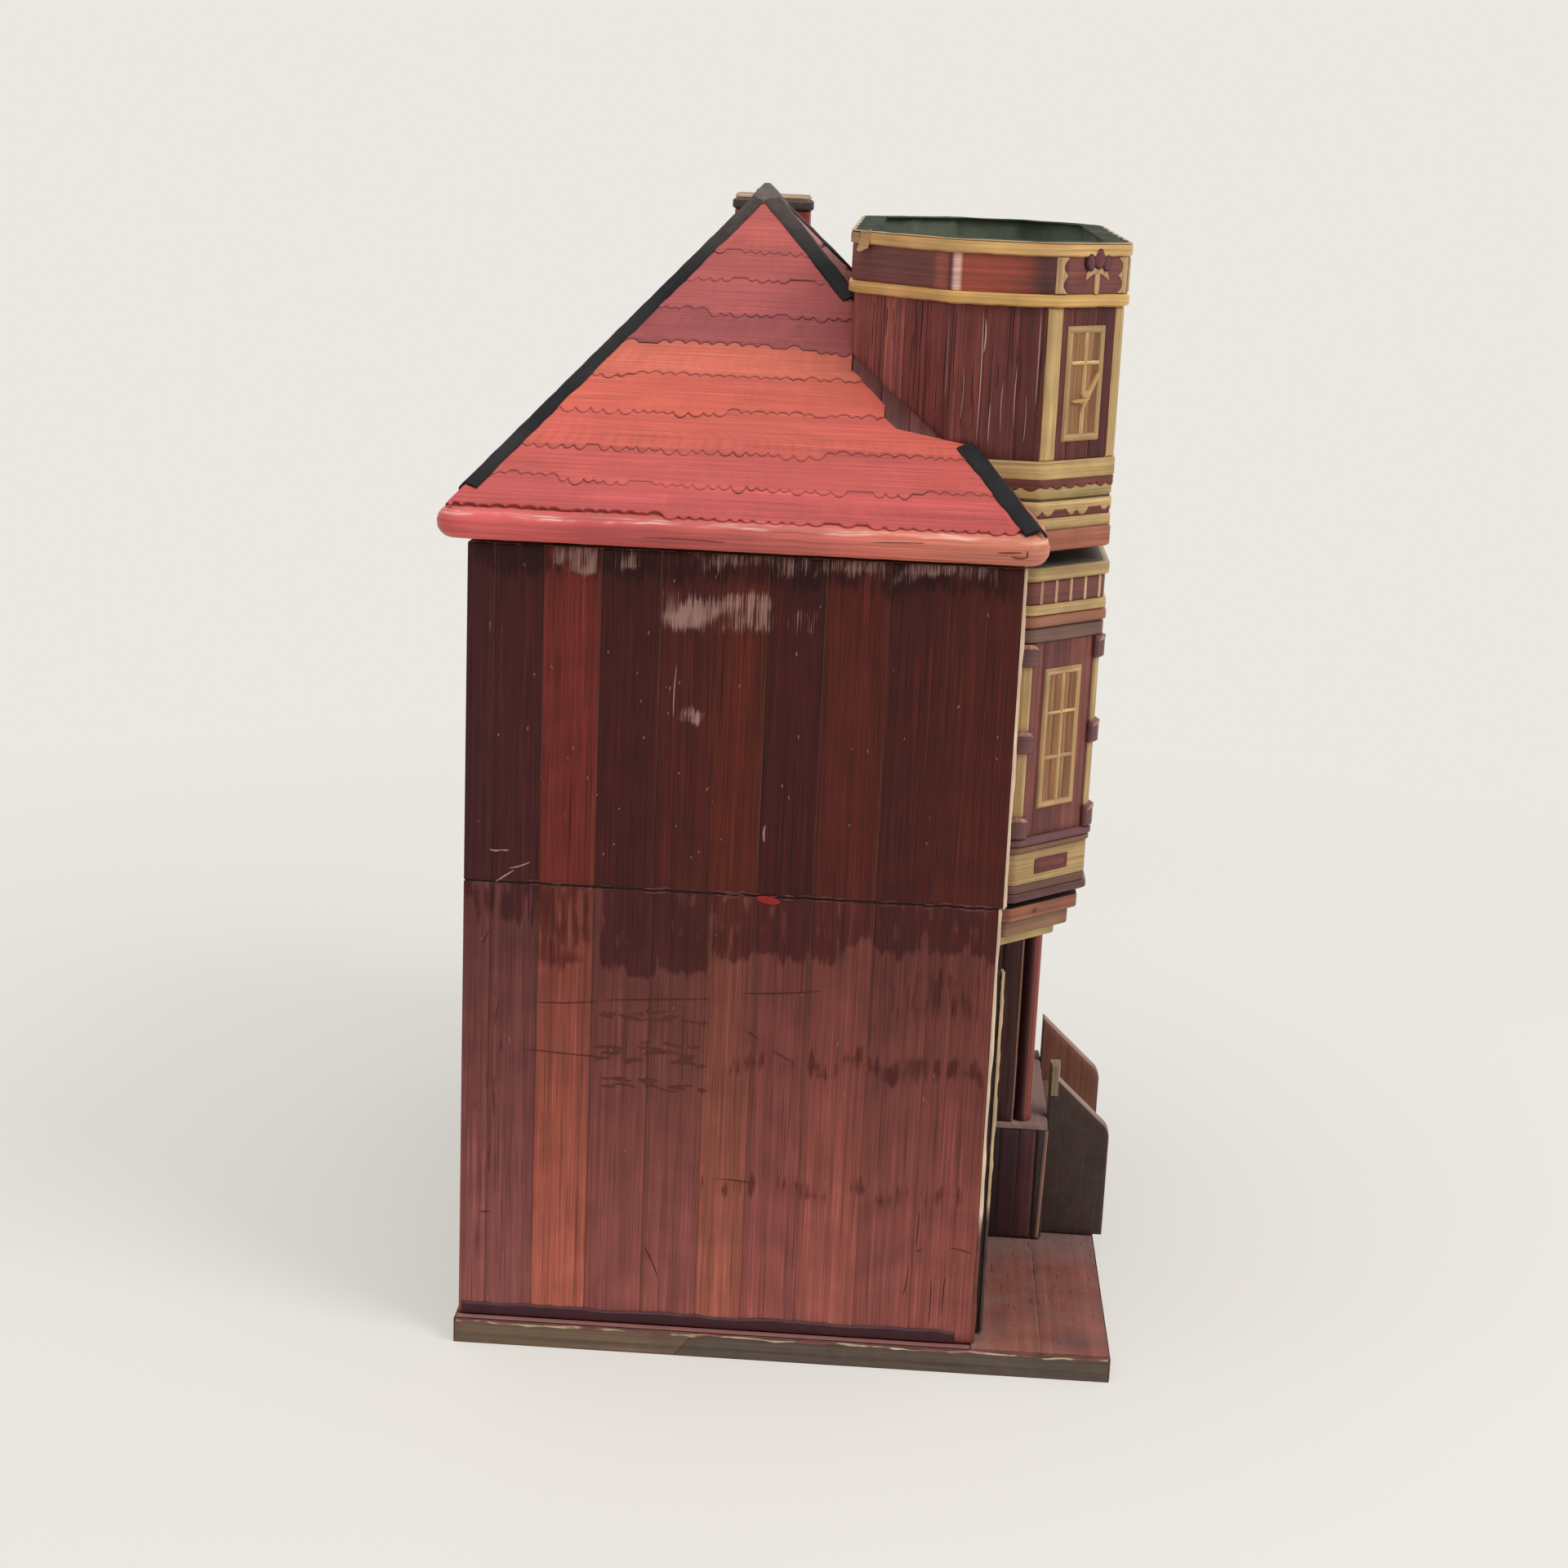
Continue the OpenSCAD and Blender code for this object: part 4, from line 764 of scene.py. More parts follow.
def back_wall():
    """Upright ribbons over the back, darker and duller than the sides."""
    piece("back_straw", "carcass", "red_straw", dull_straw, "back_wall_straw")
    place = flat((69.7, DEPTH, 0), -X, Z)
    tints = [(104, 56, 46), (84, 44, 38), (116, 62, 50), (92, 48, 42), (76, 40, 36)]
    for low, high, seed in ((0.1, SEAM - 0.12, 3), (SEAM + 0.12, WALL_TOP, 17)):
        ribbons(place, widths(0, 139.4, 10, seed), low, high, 0.0, tints[seed % 5:] + tints[:seed % 5],
            seed=seed, rows=12, fray=0.3, back=-0.28, relief=0.02, streaks=0.12, state=(0.05, 0.3, 0.25))


def wall_trim():
    """The pale strips on the walls' front edges, jagged along their sides, and the skirting."""
    piece("edge_straw", "carcass", "pale_straw", dull_straw, "wall_edge_strips")
    tint = lambda a, w: shaded(PALE, 20, 5, (108, 54, 48))(w, a + 2.5 * fibres(w, 1.1, 2))
    for low, high, front, seed in ((0.05, SEAM - 0.1, 0, 3), (SEAM + 0.1, WALL_TOP, -FORWARD, 8)):
        z = np.linspace(low, high, 150)
        for k, place in both(upright(flat((-HALF_W, front, 0), X, Z))):
            nicks = 0.25 * np.abs(fibres(z, 1.3, seed + k)) + 0.5 * np.clip(wander(z, 17, seed + k), 0, 1)
            thick = 0.6 + 0.15 * wander(z, 23, seed)[:, None]
            lay(place, z, 0.06 * np.abs(fibres(z, 0.9, seed)), 3.75 - nicks, thick, tint, seed=seed + k,
                back=0.0, cup=0.03, state=(0, 0, 0.1))
    piece("skirting_straw", "carcass", "brown_straw", lacquered_straw, "skirting")
    for k, place in both(flat((-HALF_W, DEPTH, 0), -Y, Z)):
        a = steps(place, 0.6, 91.8, 0.5)
        top = 2.4 + 0.25 * wander(a, 27, 4 + k) + 0.12 * fibres(a, 1.7, 6 + k)
        lay(place, a, 0.0, top, 0.5, MAROON, seed=12 + k, back=0.0, rounding=0.7, state=(0.1, 0, 0.06))


def base():
    """Two planks with rounded edges, straw along the terrace in front and beside the walls, and straw round
    the edge with a slanted joint."""
    left, right, width = -BASE_HALF_W, BASE_HALF_W, 2 * BASE_HALF_W
    piece("base_planks", "carcass", "stained_wood", dull_straw, "base_board")
    for low_y, high_y, seed in ((BASE_FRONT, -12.9, 2), (-12.8, BASE_BACK, 6)):
        round_block((left, low_y, -5), (right, high_y, -0.3), 0.5, (104, 62, 54), parts=40, seed=seed,
            ragged=0.12)
    piece("terrace_straw", "carcass", "stained_wood", worn_straw)

    def terrace_tint(a, w):
        x, y = np.abs(a + left), w + BASE_FRONT
        colour = mixed(np.clip((x - 22) / 16, 0, 1), (132, 84, 78), (136, 77, 65))
        colour = mixed(np.clip((x - 55) / 14, 0, 1), colour, (146, 84, 68))
        bruise = 0.6 * np.exp(-((x - 67) / 3.5) ** 2 - ((y + 19) / 5) ** 2)
        colour = mixed(bruise, colour, (84, 38, 44))
        return mixed(0.5 * np.clip((y + 4) / 4, 0, 1), colour, (128, 90, 84))

    def terrace_state(a, w):
        x, y = a + left, w + BASE_FRONT
        dust = 0.05 + 0.5 * np.exp(-((np.abs(x) - 22) / 7) ** 2) + 0.4 * np.exp(-(y / 3.5) ** 2)
        dust = np.clip(dust + 0.15 * clouds(x, y, 9, 3), 0, 0.7)
        return np.stack([0.08 + 0 * dust, 0.1 + 0 * dust, dust], -1)

    terrace = flat((left, BASE_FRONT, -0.1), X, Y)
    for low, high, seed in ((0.3, 12.63, 21), (12.67, 25.5, 22)):
        lay(terrace, (0.4, width - 0.4, 0.9), low, high, 0.16, terrace_tint, v=22, back=-0.3, seed=seed,
            cup=0.05, relief=0.02, streaks=0.1, state=terrace_state, rounding=0.15)
    faded = lambda a, w: shaded((150, 84, 78), 0, 90, (158, 98, 96))(w, a)
    for k, place in both(flat((left, 95.3, -0.1), -Y, X)):
        lay(place, (0.3, 95, 0.7), 0.25, 1.62, 0.14, faded, seed=31 + k, state=(0.15, 0.1, 0.3))
    lay(flat((left, 95.1, -0.1), X, Y), (0.4, width - 0.4, 2), 0.0, 0.3, 0.1, (130, 80, 74), seed=33)
    marks(terrace, strewn(90, (4, 50), (1, 24), (0.5, 2.6), (-8, 8), (0.1, 0.22), 5), (92, 48, 44), 0.2)
    piece("base_edge_straw", "carcass", "stained_wood", dull_straw)
    v = np.linspace(0, 1, 9)
    rubbed = lambda a, w: shaded((196, 170, 142), -0.3, 0.5, (140, 84, 76))(w, fibres(a, 4.3, 6) +
        0.5 * fibres(a, 1.1, 7))
    for k, place in both(flat((left, BASE_BACK, -5), -Y, Z)):
        joint = 41 + 3.5 * v
        for low, high, tint in ((0.3, joint - 0.15, (104, 84, 64)), (joint + 0.15, 120.7, (80, 68, 58))):
            a = low + np.linspace(0, 1, 90)[:, None] * (high - low)
            top = 4.55 + 0.12 * fibres(a[:, 0], 0.9, 40 + k)
            lay(place, a, 0.1, top, 0.1, tint, v=v, seed=41 + k, state=(0.12, 0.05, 0.2), streaks=0.16)
        a = steps(place, 0.5, 120.5, 0.5)
        worn = 4.3 + 0.2 * wander(a, 19, 3)
        lay(place, a, worn - 0.28 - 0.22 * fibres(a, 1.7, 5 + k), worn + 0.12, 0.19, rubbed, seed=47)
    for place in (flat((left, BASE_FRONT, -5), X, Z), flat((right, BASE_BACK, -5), -X, Z)):
        lay(place, (0.3, width - 0.3, 1.2), 0.1, 4.55, 0.1, (100, 84, 68), seed=45, state=(0.1, 0, 0.3),
            streaks=0.16)


# Roof

RISE = TIP_Z - EAVE_TOP
SIDE_ANGLE = math.atan2(RISE, ROOF_HALF_W)
FRONT_ANGLE = math.atan2(RISE, TIP_Y - ROOF_FRONT)
BACK_ANGLE = math.atan2(RISE, ROOF_BACK - TIP_Y)
SIDE_SLOPE = flat((-ROOF_HALF_W, ROOF_BACK, EAVE_TOP), -Y, (math.cos(SIDE_ANGLE), 0, math.sin(SIDE_ANGLE)))
# Heights of the rows' lower edges over the eave board, and of the last one's upper edge. A row reaches up by
# the overlap under the next one
ROW_OVERLAP = 2.4
ROW_HEIGHTS = [0, 4.3, 9.4, 15, 20.4, 25.4, 31, 36.8, 41.6, 52.8]
# Tints of the rows from the eave up: partly the straw's own colours, partly a painted sheen that makes the
# lower five rows brighter than those above
ROW_TINTS = [(190, 86, 84), (196, 90, 84), (200, 94, 82), (204, 97, 81), (206, 106, 86), (150, 75, 76),
    (166, 82, 82), (172, 84, 82), (178, 88, 82)]
ROW_DUST = (172, 130, 128)
# The tiles beside the turret are cut in steps of this width along a slant that starts here
CUT_X, CUT_Y, CUT_SLANT, CUT_STEP = -56, 20.3, 0.779, 2.9


def roof_height(x, y):
    """The height of the roof's outer face over a point in plan: the lowest of its four slopes."""
    side = (ROOF_HALF_W - np.abs(x)) / ROOF_HALF_W
    front = (y - ROOF_FRONT) / (TIP_Y - ROOF_FRONT)
    back = (ROOF_BACK - y) / (ROOF_BACK - TIP_Y)
    return EAVE_TOP + RISE * np.minimum(np.minimum(side, front), back)


def tile_rows(place, angle, left, right, seed, lowest=0.0, dull=0.0):
    """Rows of straw up one slope. Each row reaches from its scalloped lower edge to under the next row, and
    its ends follow the slope's outline, given as distances along for each height. It is thickest at its
    lower edge, which carries a painted shadow line, and a painted shade darkens it under the next row's
    edge. dull is the share of dust in all rows."""
    v, sine = np.array([0, 0.018, 0.05, 0.12, 0.3, 0.6, 0.85, 1]), math.sin(angle)
    for k, (tint, foot, top) in enumerate(zip(ROW_TINTS, ROW_HEIGHTS, ROW_HEIGHTS[1:])):
        low, high = max(foot, lowest), min(top + ROW_OVERLAP, ROW_HEIGHTS[-1])
        if high - low < 2:
            continue
        overhang, inset, waves = (0.5, 0.7, 0.6) if low == 0 else (1.9, 1.1, 1)
        level = low + (high - low) * v + overhang * sine * (1 - v)
        start, end = left(level), right(level)
        if np.max(end - start) < 1:
            continue
        end = np.maximum(end, start + 0.05)
        a = start + np.linspace(0, 1, max(12, int(np.max(end - start) / 0.3)))[:, None] * (end - start)
        w0, w1 = low / sine, high / sine
        edge = w0 + inset + lobes(a[:, 0], seed + k) * waves

        def thick(a, w):
            lift = 0.1 * np.clip(wander(a, 31, seed + 5 * k), 0, 1) * (w < w0 + 2)
            return 0.22 - 0.16 * (w - w0) / (w1 - w0) + lift

        def colour(a, w):
            # Painted shadow: a dark line along each row's scalloped lower edge, faint on the lowest row, and
            # painted shade near the row's top, under the next row's edge
            dark = (0.05 if k == 0 else 0.68) * np.exp(-((w - edge[:, None]) / 0.16) ** 2)
            dark = 1 - dark - 0.1 * np.exp(-((w - w1) / 2.0) ** 2)
            shade = dark * (1 + 0.03 * wander(a, 90, seed + 9 * k, 1))
            return mixed(dull, tint, ROW_DUST) * shade[..., None]

        lay(place, a, edge, w1, thick, colour, v=v, back=-0.62, seed=seed + 3 * k, rounding=0.12, cup=0.012,
            streaks=0.06, mottle=0.02, state=(0.04, 0, 0.06))


def roof():
    """Four slopes of overlapping straw rows, cut out round the turret."""
    front = flat((-ROOF_HALF_W, ROOF_FRONT, EAVE_TOP), X, (0, math.cos(FRONT_ANGLE), math.sin(FRONT_ANGLE)))
    back = flat((ROOF_HALF_W, ROOF_BACK, EAVE_TOP), -X, (0, -math.cos(BACK_ANGLE), math.sin(BACK_ANGLE)))
    hip = lambda level: ROOF_HALF_W / RISE * level
    far_hip = lambda level: 2 * ROOF_HALF_W - hip(level)
    back_hip = lambda level: (ROOF_BACK - TIP_Y) * level / RISE

    def front_end(level):
        x = -ROOF_HALF_W + hip(level)
        y = ROOF_FRONT + (TIP_Y - ROOF_FRONT) * level / RISE
        cut = np.minimum(CUT_Y + CUT_STEP * np.round((x - CUT_X) / CUT_STEP) * CUT_SLANT, TURRET_BACK)
        return ROOF_BACK - np.where(x > CUT_X, np.maximum(y, cut), y)

    behind = (TURRET_BACK - ROOF_FRONT) * math.tan(FRONT_ANGLE)
    corner = lambda level: ROOF_HALF_W + CUT_X + 0 * level
    for name, *slopes in (("left", (SIDE_SLOPE, SIDE_ANGLE, back_hip, front_end, 4)),
            ("right", (mirrored(SIDE_SLOPE), SIDE_ANGLE, back_hip, front_end, 60)),
            ("back", (back, BACK_ANGLE, hip, far_hip, 90)),
            ("front", (front, FRONT_ANGLE, hip, corner, 120, 0.0, 0.55),
                (mirrored(front), FRONT_ANGLE, hip, corner, 150, 0.0, 0.55),
                (front, FRONT_ANGLE, hip, far_hip, 180, behind, 0.55))):
        piece("roof_rows_" + name, "roof_lid", "roof_straw", roof_tiles, "roof_straw")
        for slope in slopes:
            tile_rows(*slope)


def unit(v):
    return v / np.linalg.norm(v, axis=-1, keepdims=True)


def hip_strip(x, y, seed, keep=lambda x, y: np.isfinite(x)):
    """A strip of black straw bent over a hip: two wings on the slopes, a rounded ridge and uneven edges. It
    runs from the roof's corner to the tip, where a test of its middle line's x and y allows."""
    corner, in_front = np.array([x, y, EAVE_TOP]), y < 0
    reach_up = np.array([0, TIP_Y, TIP_Z]) - corner
    length, way = np.linalg.norm(reach_up), unit(reach_up)
    sx, sy, angle = -np.sign(x), 1 if in_front else -1, FRONT_ANGLE if in_front else BACK_ANGLE
    ups = np.array([[-sx * math.sin(SIDE_ANGLE), 0, math.cos(SIDE_ANGLE)],
        [0, -sy * math.sin(angle), math.cos(angle)]])
    wings = [wing * np.sign(wing @ inward) for wing, inward in zip(np.cross(ups, way), (sy * Y, sx * X))]
    a = np.linspace(1.2 if in_front else 6.5, length - 0.5, 170)[:, None]
    s = np.array([-1, -0.93, -0.7, -0.4, -0.16, -0.06, 0, 0.06, 0.16, 0.4, 0.7, 0.93, 1])
    reach = (2.6 if in_front else 2.2) + 0.12 * wander(a, 19, seed) + 0.08 * fibres(a, 1.9, seed + 1)
    other = 2.7 + 0.12 * wander(a, 23, seed + 2) + 0.08 * fibres(a, 1.6, seed + 3)
    u = s * np.where(s < 0, reach, other)
    up = unit(mixed(0.5 + 0.5 * np.tanh(u / 0.5), *ups))
    line = corner + a[..., None] * way + np.abs(u)[..., None] * np.where(u[..., None] < 0, *wings)
    h = 0.62 * (1 - 0.5 * np.abs(s) ** 8) + 0.03 * fibres(u, 0.5, seed) + 0.05 * wander(a, 9, seed + 4)
    along = a + 0 * u
    shade = 1 + 0.12 * fibres(u, 0.5, seed) + 0.2 * clouds(u, along, 16, seed)
    dusty = np.clip(0.03 + 0.05 * wander(along, 40, seed) + 0.3 * (along - 78) / 20 * (along > 78), 0, 0.4)
    grids = (line + h[..., None] * up, line - 0.12 * up, np.stack([u, along], -1) + seed,
        np.array([25, 28, 31]) * shade[..., None], np.stack([0.2 * dusty, 0 * dusty, dusty], -1))
    kept = keep(x + a[:, 0] * way[0], y + a[:, 0] * way[1])
    add_sheet(*(grid[kept] for grid in grids))


def hips():
    """Strips over the four hips, stopped by the turret in front, and a small cap over the tip."""
    piece("hip_straw", "roof_lid", "black_straw", hip_black, "hip_strips")
    for k, x in enumerate((-ROOF_HALF_W, ROOF_HALF_W)):
        hip_strip(x, ROOF_BACK, 5 + k)
        hip_strip(x, ROOF_FRONT, 15 + k, lambda x, y: np.abs(x) > 56)
        hip_strip(x, ROOF_FRONT, 25 + k, lambda x, y: y > TURRET_BACK + 0.1)
    turn = np.linspace(0, 2 * np.pi, 48, endpoint=False)[:, None]
    s = np.linspace(0.02, 1, 9)
    reach = 4.3 + 0.5 * fibres(turn * 5, 1.1, 3)
    x, y = s * reach * np.cos(turn), TIP_Y + s * reach * np.sin(turn)
    roof_z = roof_height(x, y)
    z = np.minimum(roof_z + 1.15, TIP_Z + 0.62 - 0.03 * (x ** 2 + (y - TIP_Y) ** 2)) - 0.25 * s ** 8
    add_sheet(np.stack([x, y, z], -1), np.stack([x, y, np.minimum(z - 0.3, roof_z + 0.3)], -1),
        np.stack([x, y], -1), (58, 60, 62), (0.2, 0, 0.6), wrap=True)


def eave():
    """A straw skin round the lid board's half-round lip, from the turret's left side round the back."""
    piece("eave_straw", "roof_lid", "salmon_straw", lacquered_straw)
    x, front, back, middle, r = 75.0, -4.5, 100.0, 147.8, 2.6
    lip = Wall([(55.4, front), (x, front), (x, back), (-x, back), (-x, front), (-55.4, front)], radius=4.0)
    turn = np.linspace(-math.pi / 2, math.pi / 2, 37)
    a = steps(lip, 0, lip.length, 0.6)[:, None] + 0 * turn
    wave = 0.1 * wander(a, 29, 4) + 0.05 * wander(a, 7, 5)
    out = 0.16 + 0.05 * fibres(turn * 4, 0.7, 6) + 0.35 * wave
    bent = turn + wave * 0.4
    place = lambda d: lip(a, middle + (r + d) * np.sin(bent), -r + (r + d) * np.cos(bent))
    shade = 1 + 0.1 * wander(a, 60, 8) + 0.05 * fibres(turn * 3, 0.5, 9)
    tint = np.array([202, 88, 86]) * shade[..., None]
    warm = np.clip(1 - a / 90, 0, 1) + np.clip((a - lip.length + 90) / 90, 0, 1)
    tint = mixed(0.85 * warm, tint, (212, 146, 108))
    # Two painted highlight lines along the lip's upper rounding, broken up in places: the gleam of light on
    # the lacquered edge, painted in pale tint
    for level, soft, seed in ((0.62, 0.07, 3), (0.85, 0.04, 13)):
        line = np.exp(-((turn - level - 0.1 * wander(a, 31, seed)) / soft) ** 2)
        line = line * np.clip(0.45 + wander(a, 21, seed + 1) + 0.5 * fibres(a, 1.3, seed), 0, 1)
        tint = mixed(0.75 * line, tint, (252, 222, 210))
    add_sheet(place(out), place(-0.1), np.stack([turn * r + 0 * a, a], -1), tint, (0.08, 0, 0.08))
    scars = [(5, 147.6, 4.2, 3, 0.3), (3.5, 146.9, 2.4, -4, 0.3), (2.2, 147.4, 1.4, 88, 0.3),
        (24, 148.4, 9, 2, 0.2), (60, 147, 14, -1, 0.2)]
    marks(proud(lip, 0.05), [(lip.length - 19.6 - a, *scar) for a, *scar in scars], (110, 56, 44), 0.12)


def chimney():
    """Straw round the chimney with a rounded top, a pale rim, and the dark band under it."""
    around = Wall([(28, 42.5), (28, 57.5), (20, 57.5), (20, 42.5)], closed=True, radius=0.9)
    piece("chimney_straw", "roof_lid", "roof_straw", lacquered_straw, "chimney")
    a = steps(around, 0, around.length, 0.7)
    points = around(a, 0 * a, 0 * a)
    foot = roof_height(points[:, 0], points[:, 1]) - 0.4
    lay(around, a, foot, 199.2, 0.0, (150, 62, 48), v=24, back=-0.7, seed=4, state=(0.1, 0.05, 0.15),
        streaks=0.12)
    lay(around, a, 201.2, 202.05, 0.02, (206, 180, 150), back=-0.7, seed=6, state=(0.1, 0, 0.3))
    round_block((20.2, 42.7, 200.6), (27.8, 57.3, 202.2), 0.35, (176, 140, 116), (0.2, 0, 0.5), 1, 12, 5,
        0.1)
    piece("chimney_band_straw", "roof_lid", "black_straw", dull_straw, "chimney_band")
    lay(around, a, 199.15 + 0.15 * fibres(a, 1.5, 3), 201.15 + 0.12 * fibres(a, 1.2, 5), 0.5, (50, 46, 48),
        back=-0.6, seed=9, state=(0.2, 0, 0.25))


# Turret and bay

FRONT_CORNERS = [(-55, -3), (-42, -16), (42, -16), (55, -3)]
TURRET = [(37.5, TURRET_BACK), (-37.5, TURRET_BACK), (-55, 13.7), *FRONT_CORNERS, (55, 13.7)]
turret_side = Wall(TURRET, closed=True)
bay_side = Wall([(-55, -0.72), *FRONT_CORNERS, (55, -0.72)])
LEFT_FACET = flat((-48.5, -9.5, 0), (0.70711, -0.70711, 0), Z)
FACETS = (LEFT_FACET, mirrored(LEFT_FACET))
FLAT_FRONT = flat((0, -16, 0), X, Z)
FRONT_WINDOWS = (-28, 0, 28)
FOOT_TOP = 160.75
CROWN_FOOT = 187.2
# The crown's band of glossy straw, between its yellow strips
BAND_LOW = 189.5
BAND_HIGH = 195.8
RIM = 198.15


def over_roof(wall, low, gap=0.3):
    """A lower edge round the turret that stays above the roof."""
    def edge(a):
        x, y, _ = wall(a, 0 * a, 0 * a).T
        return np.maximum(low, np.where(y > ROOF_FRONT, roof_height(x, y), 0) + gap)
    return edge


def tulip(place, seed, middle=0, foot=BAND_LOW, height=6.6):
    """A tulip: a stem with two leaves that droop from its top, and over it a bloom of three round petals,
    each with a dark outline under it."""
    leaf, top = (184, 146, 108), foot + 0.55 * height
    petal(place, (middle, foot), (middle, top + 0.6), 1.35, 0.22, leaf, blunt=0.12, seed=seed)
    for side in (-1, 1):
        petal(place, (middle, top + 0.1), (middle + side * 3.0, top - 1.2), 1.2, 0.26, leaf,
            bend=-0.7 * side, seed=seed + side)
        petal(place, (middle, top - 0.2), (middle + side * 2.1, top + 1.9), 1.1, 0.3, leaf,
            seed=seed + 4 + side)
    for x, low, high, width in ((-2.2, 0.6, 3.0, 2.1), (2.2, 0.5, 2.8, 2.0), (0.1, 0.9, 3.9, 2.9)):
        for grow, thick, tint in ((0.45, 0.5, (44, 24, 28)), (0, 0.58, (104, 54, 60))):
            petal(place, (middle + 0.85 * x, top + low - grow / 2),
                (middle + 1.05 * x, top + high + grow / 2), width + grow, thick, tint, blunt=0.32,
                seed=seed + 7)


def scalloped(place, x, seed):
    """A pair of upright yellow strips, as far as x from the middle, with scallops on their inner edges."""
    z = np.linspace(BAND_LOW + 0.1, BAND_HIGH, 50)
    edge = 2.5 - 1.1 * np.abs(np.sin((z - z[0]) * 1.05)) ** 0.7
    for side in (-1, 1):
        left, right = np.sort([side * x + 0 * z, side * (x - edge)], axis=0)
        lay(upright(place), z, left, right, 0.25, (176, 142, 102), seed=seed + side)


def turret_crown():
    """The crown: a band of glossy straw between yellow strips, a tulip between scalloped strips on each
    front facet and three in front, a strip that has come loose at the back, and green paper on its rim."""
    wall = Wall(TURRET, closed=True, radius=5.0)
    # Painted light and shade round the crown's band: each facet's tint is lighter or darker by how light
    # falls on it, and the back left corner has a painted gleam with a painted dark line beside it
    painted_light_tones = [(wall.at(x, y), soft, tint) for x, y, soft, tint in (
        (-52, 17, 0.8, (148, 78, 66)), (-55, 15.6, 0.4, (82, 38, 36)), (-55, 14.4, 0.3, (232, 186, 172)),
        (-55, 13.0, 0.5, (158, 72, 54)), (-55, 10, 9, (136, 60, 46)), (-55, 1.6, 3, (78, 38, 36)),
        (-53.5, -4.5, 0.6, (116, 60, 54)), (55, -3, 0.8, (130, 66, 52)), (50, 18, 2.0, (108, 58, 52)))]

    def field(a, w):
        tone = (112, 60, 57)
        for start, soft, tint in painted_light_tones:
            tone = mixed(np.clip((a - start) / soft, 0, 1), tone, tint)
        return tone * (1 + 0.12 * fibres(w, 0.5, 3) + 0.06 * wander(w + 0.02 * a, 1.7, 6))[..., None]

    inward = lambda a, w, h: wall(a, RIM + h, 1.3 - w)
    around = steps(wall, 0, wall.length, 0.6)
    torn = 0.7 + 0.25 * wander(around, 17, 4)
    piece("crown_rim_paper", "roof_lid", "dark_paper", rim_paper, "turret_crown")
    lay(inward, around, torn + 0.05, 5.1 + 0.3 * fibres(around, 2.1, 4), 0.14, (44, 52, 45), v=12, back=-0.1,
        seed=18, cup=0.08)
    piece("turret_crown_straw", "roof_lid", "roof_straw", lacquered_straw, "turret_crown")
    a = steps(wall, 0, wall.length)
    crest = over_roof(wall, CROWN_FOOT)(a)
    lay(wall, a, np.maximum(crest, BAND_LOW), BAND_HIGH + 0.1, 0.9, field, v=12, seed=3,
        state=(0.12, 0.06, 0.1), cup=0.05, rounding=0.2, streaks=0.1)
    first = wall.at(-39.5, 30)
    foot = np.maximum(crest, CROWN_FOOT + 0.12 * fibres(a, 1.3, 5))
    lay(wall, a, foot, np.maximum(crest + 0.4, BAND_LOW - 0.05), 1.35, (208, 164, 98), seed=5,
        state=(0.06, 0, 0.08))
    a = steps(wall, first, wall.length)
    low = BAND_HIGH - 0.05
    lay(wall, a, low + 0.1 * fibres(a, 1.5, 8), RIM, 1.35, (206, 164, 104), seed=8, state=(0.06, 0, 0.1))
    lay(wall, (0, first - 0.3), low, RIM - 0.1, 1.3, (178, 144, 92), seed=9, state=(0.08, 0, 0.2))
    lay(inward, around, 0.05, torn, 0.12, (176, 146, 104), back=-0.1, seed=17)
    loose = np.linspace(0, 1, 30)[:, None]
    v = np.linspace(0, 1, 9)
    a = first - 0.2 + 2.5 * loose + 0 * v
    w = 194.9 - 0.3 * np.sin(loose * 5) + (RIM - 194.8) * v
    curl = 1.4 + 0.9 * np.clip((198 - w) / 3.3, 0, 1) ** 2
    add_sheet(wall(a, w, curl), wall(a, w, curl - 0.18), np.stack([w, a], -1), (186, 142, 96),
        (0.15, 0, 0.15))
    for k, x in enumerate((-48.5, 48.5)):
        facet = proud(wall, 0.88, wall.at(x, -9.5))
        scalloped(facet, 8.9, 60 + k)
        tulip(facet, 70 + 5 * k, 0.9)
    for k, x in enumerate(FRONT_WINDOWS):
        front = proud(wall, 0.88, wall.at(x, -16))
        tulip(front, 90 + k)
        scalloped(front, 13.6, 95 + k)


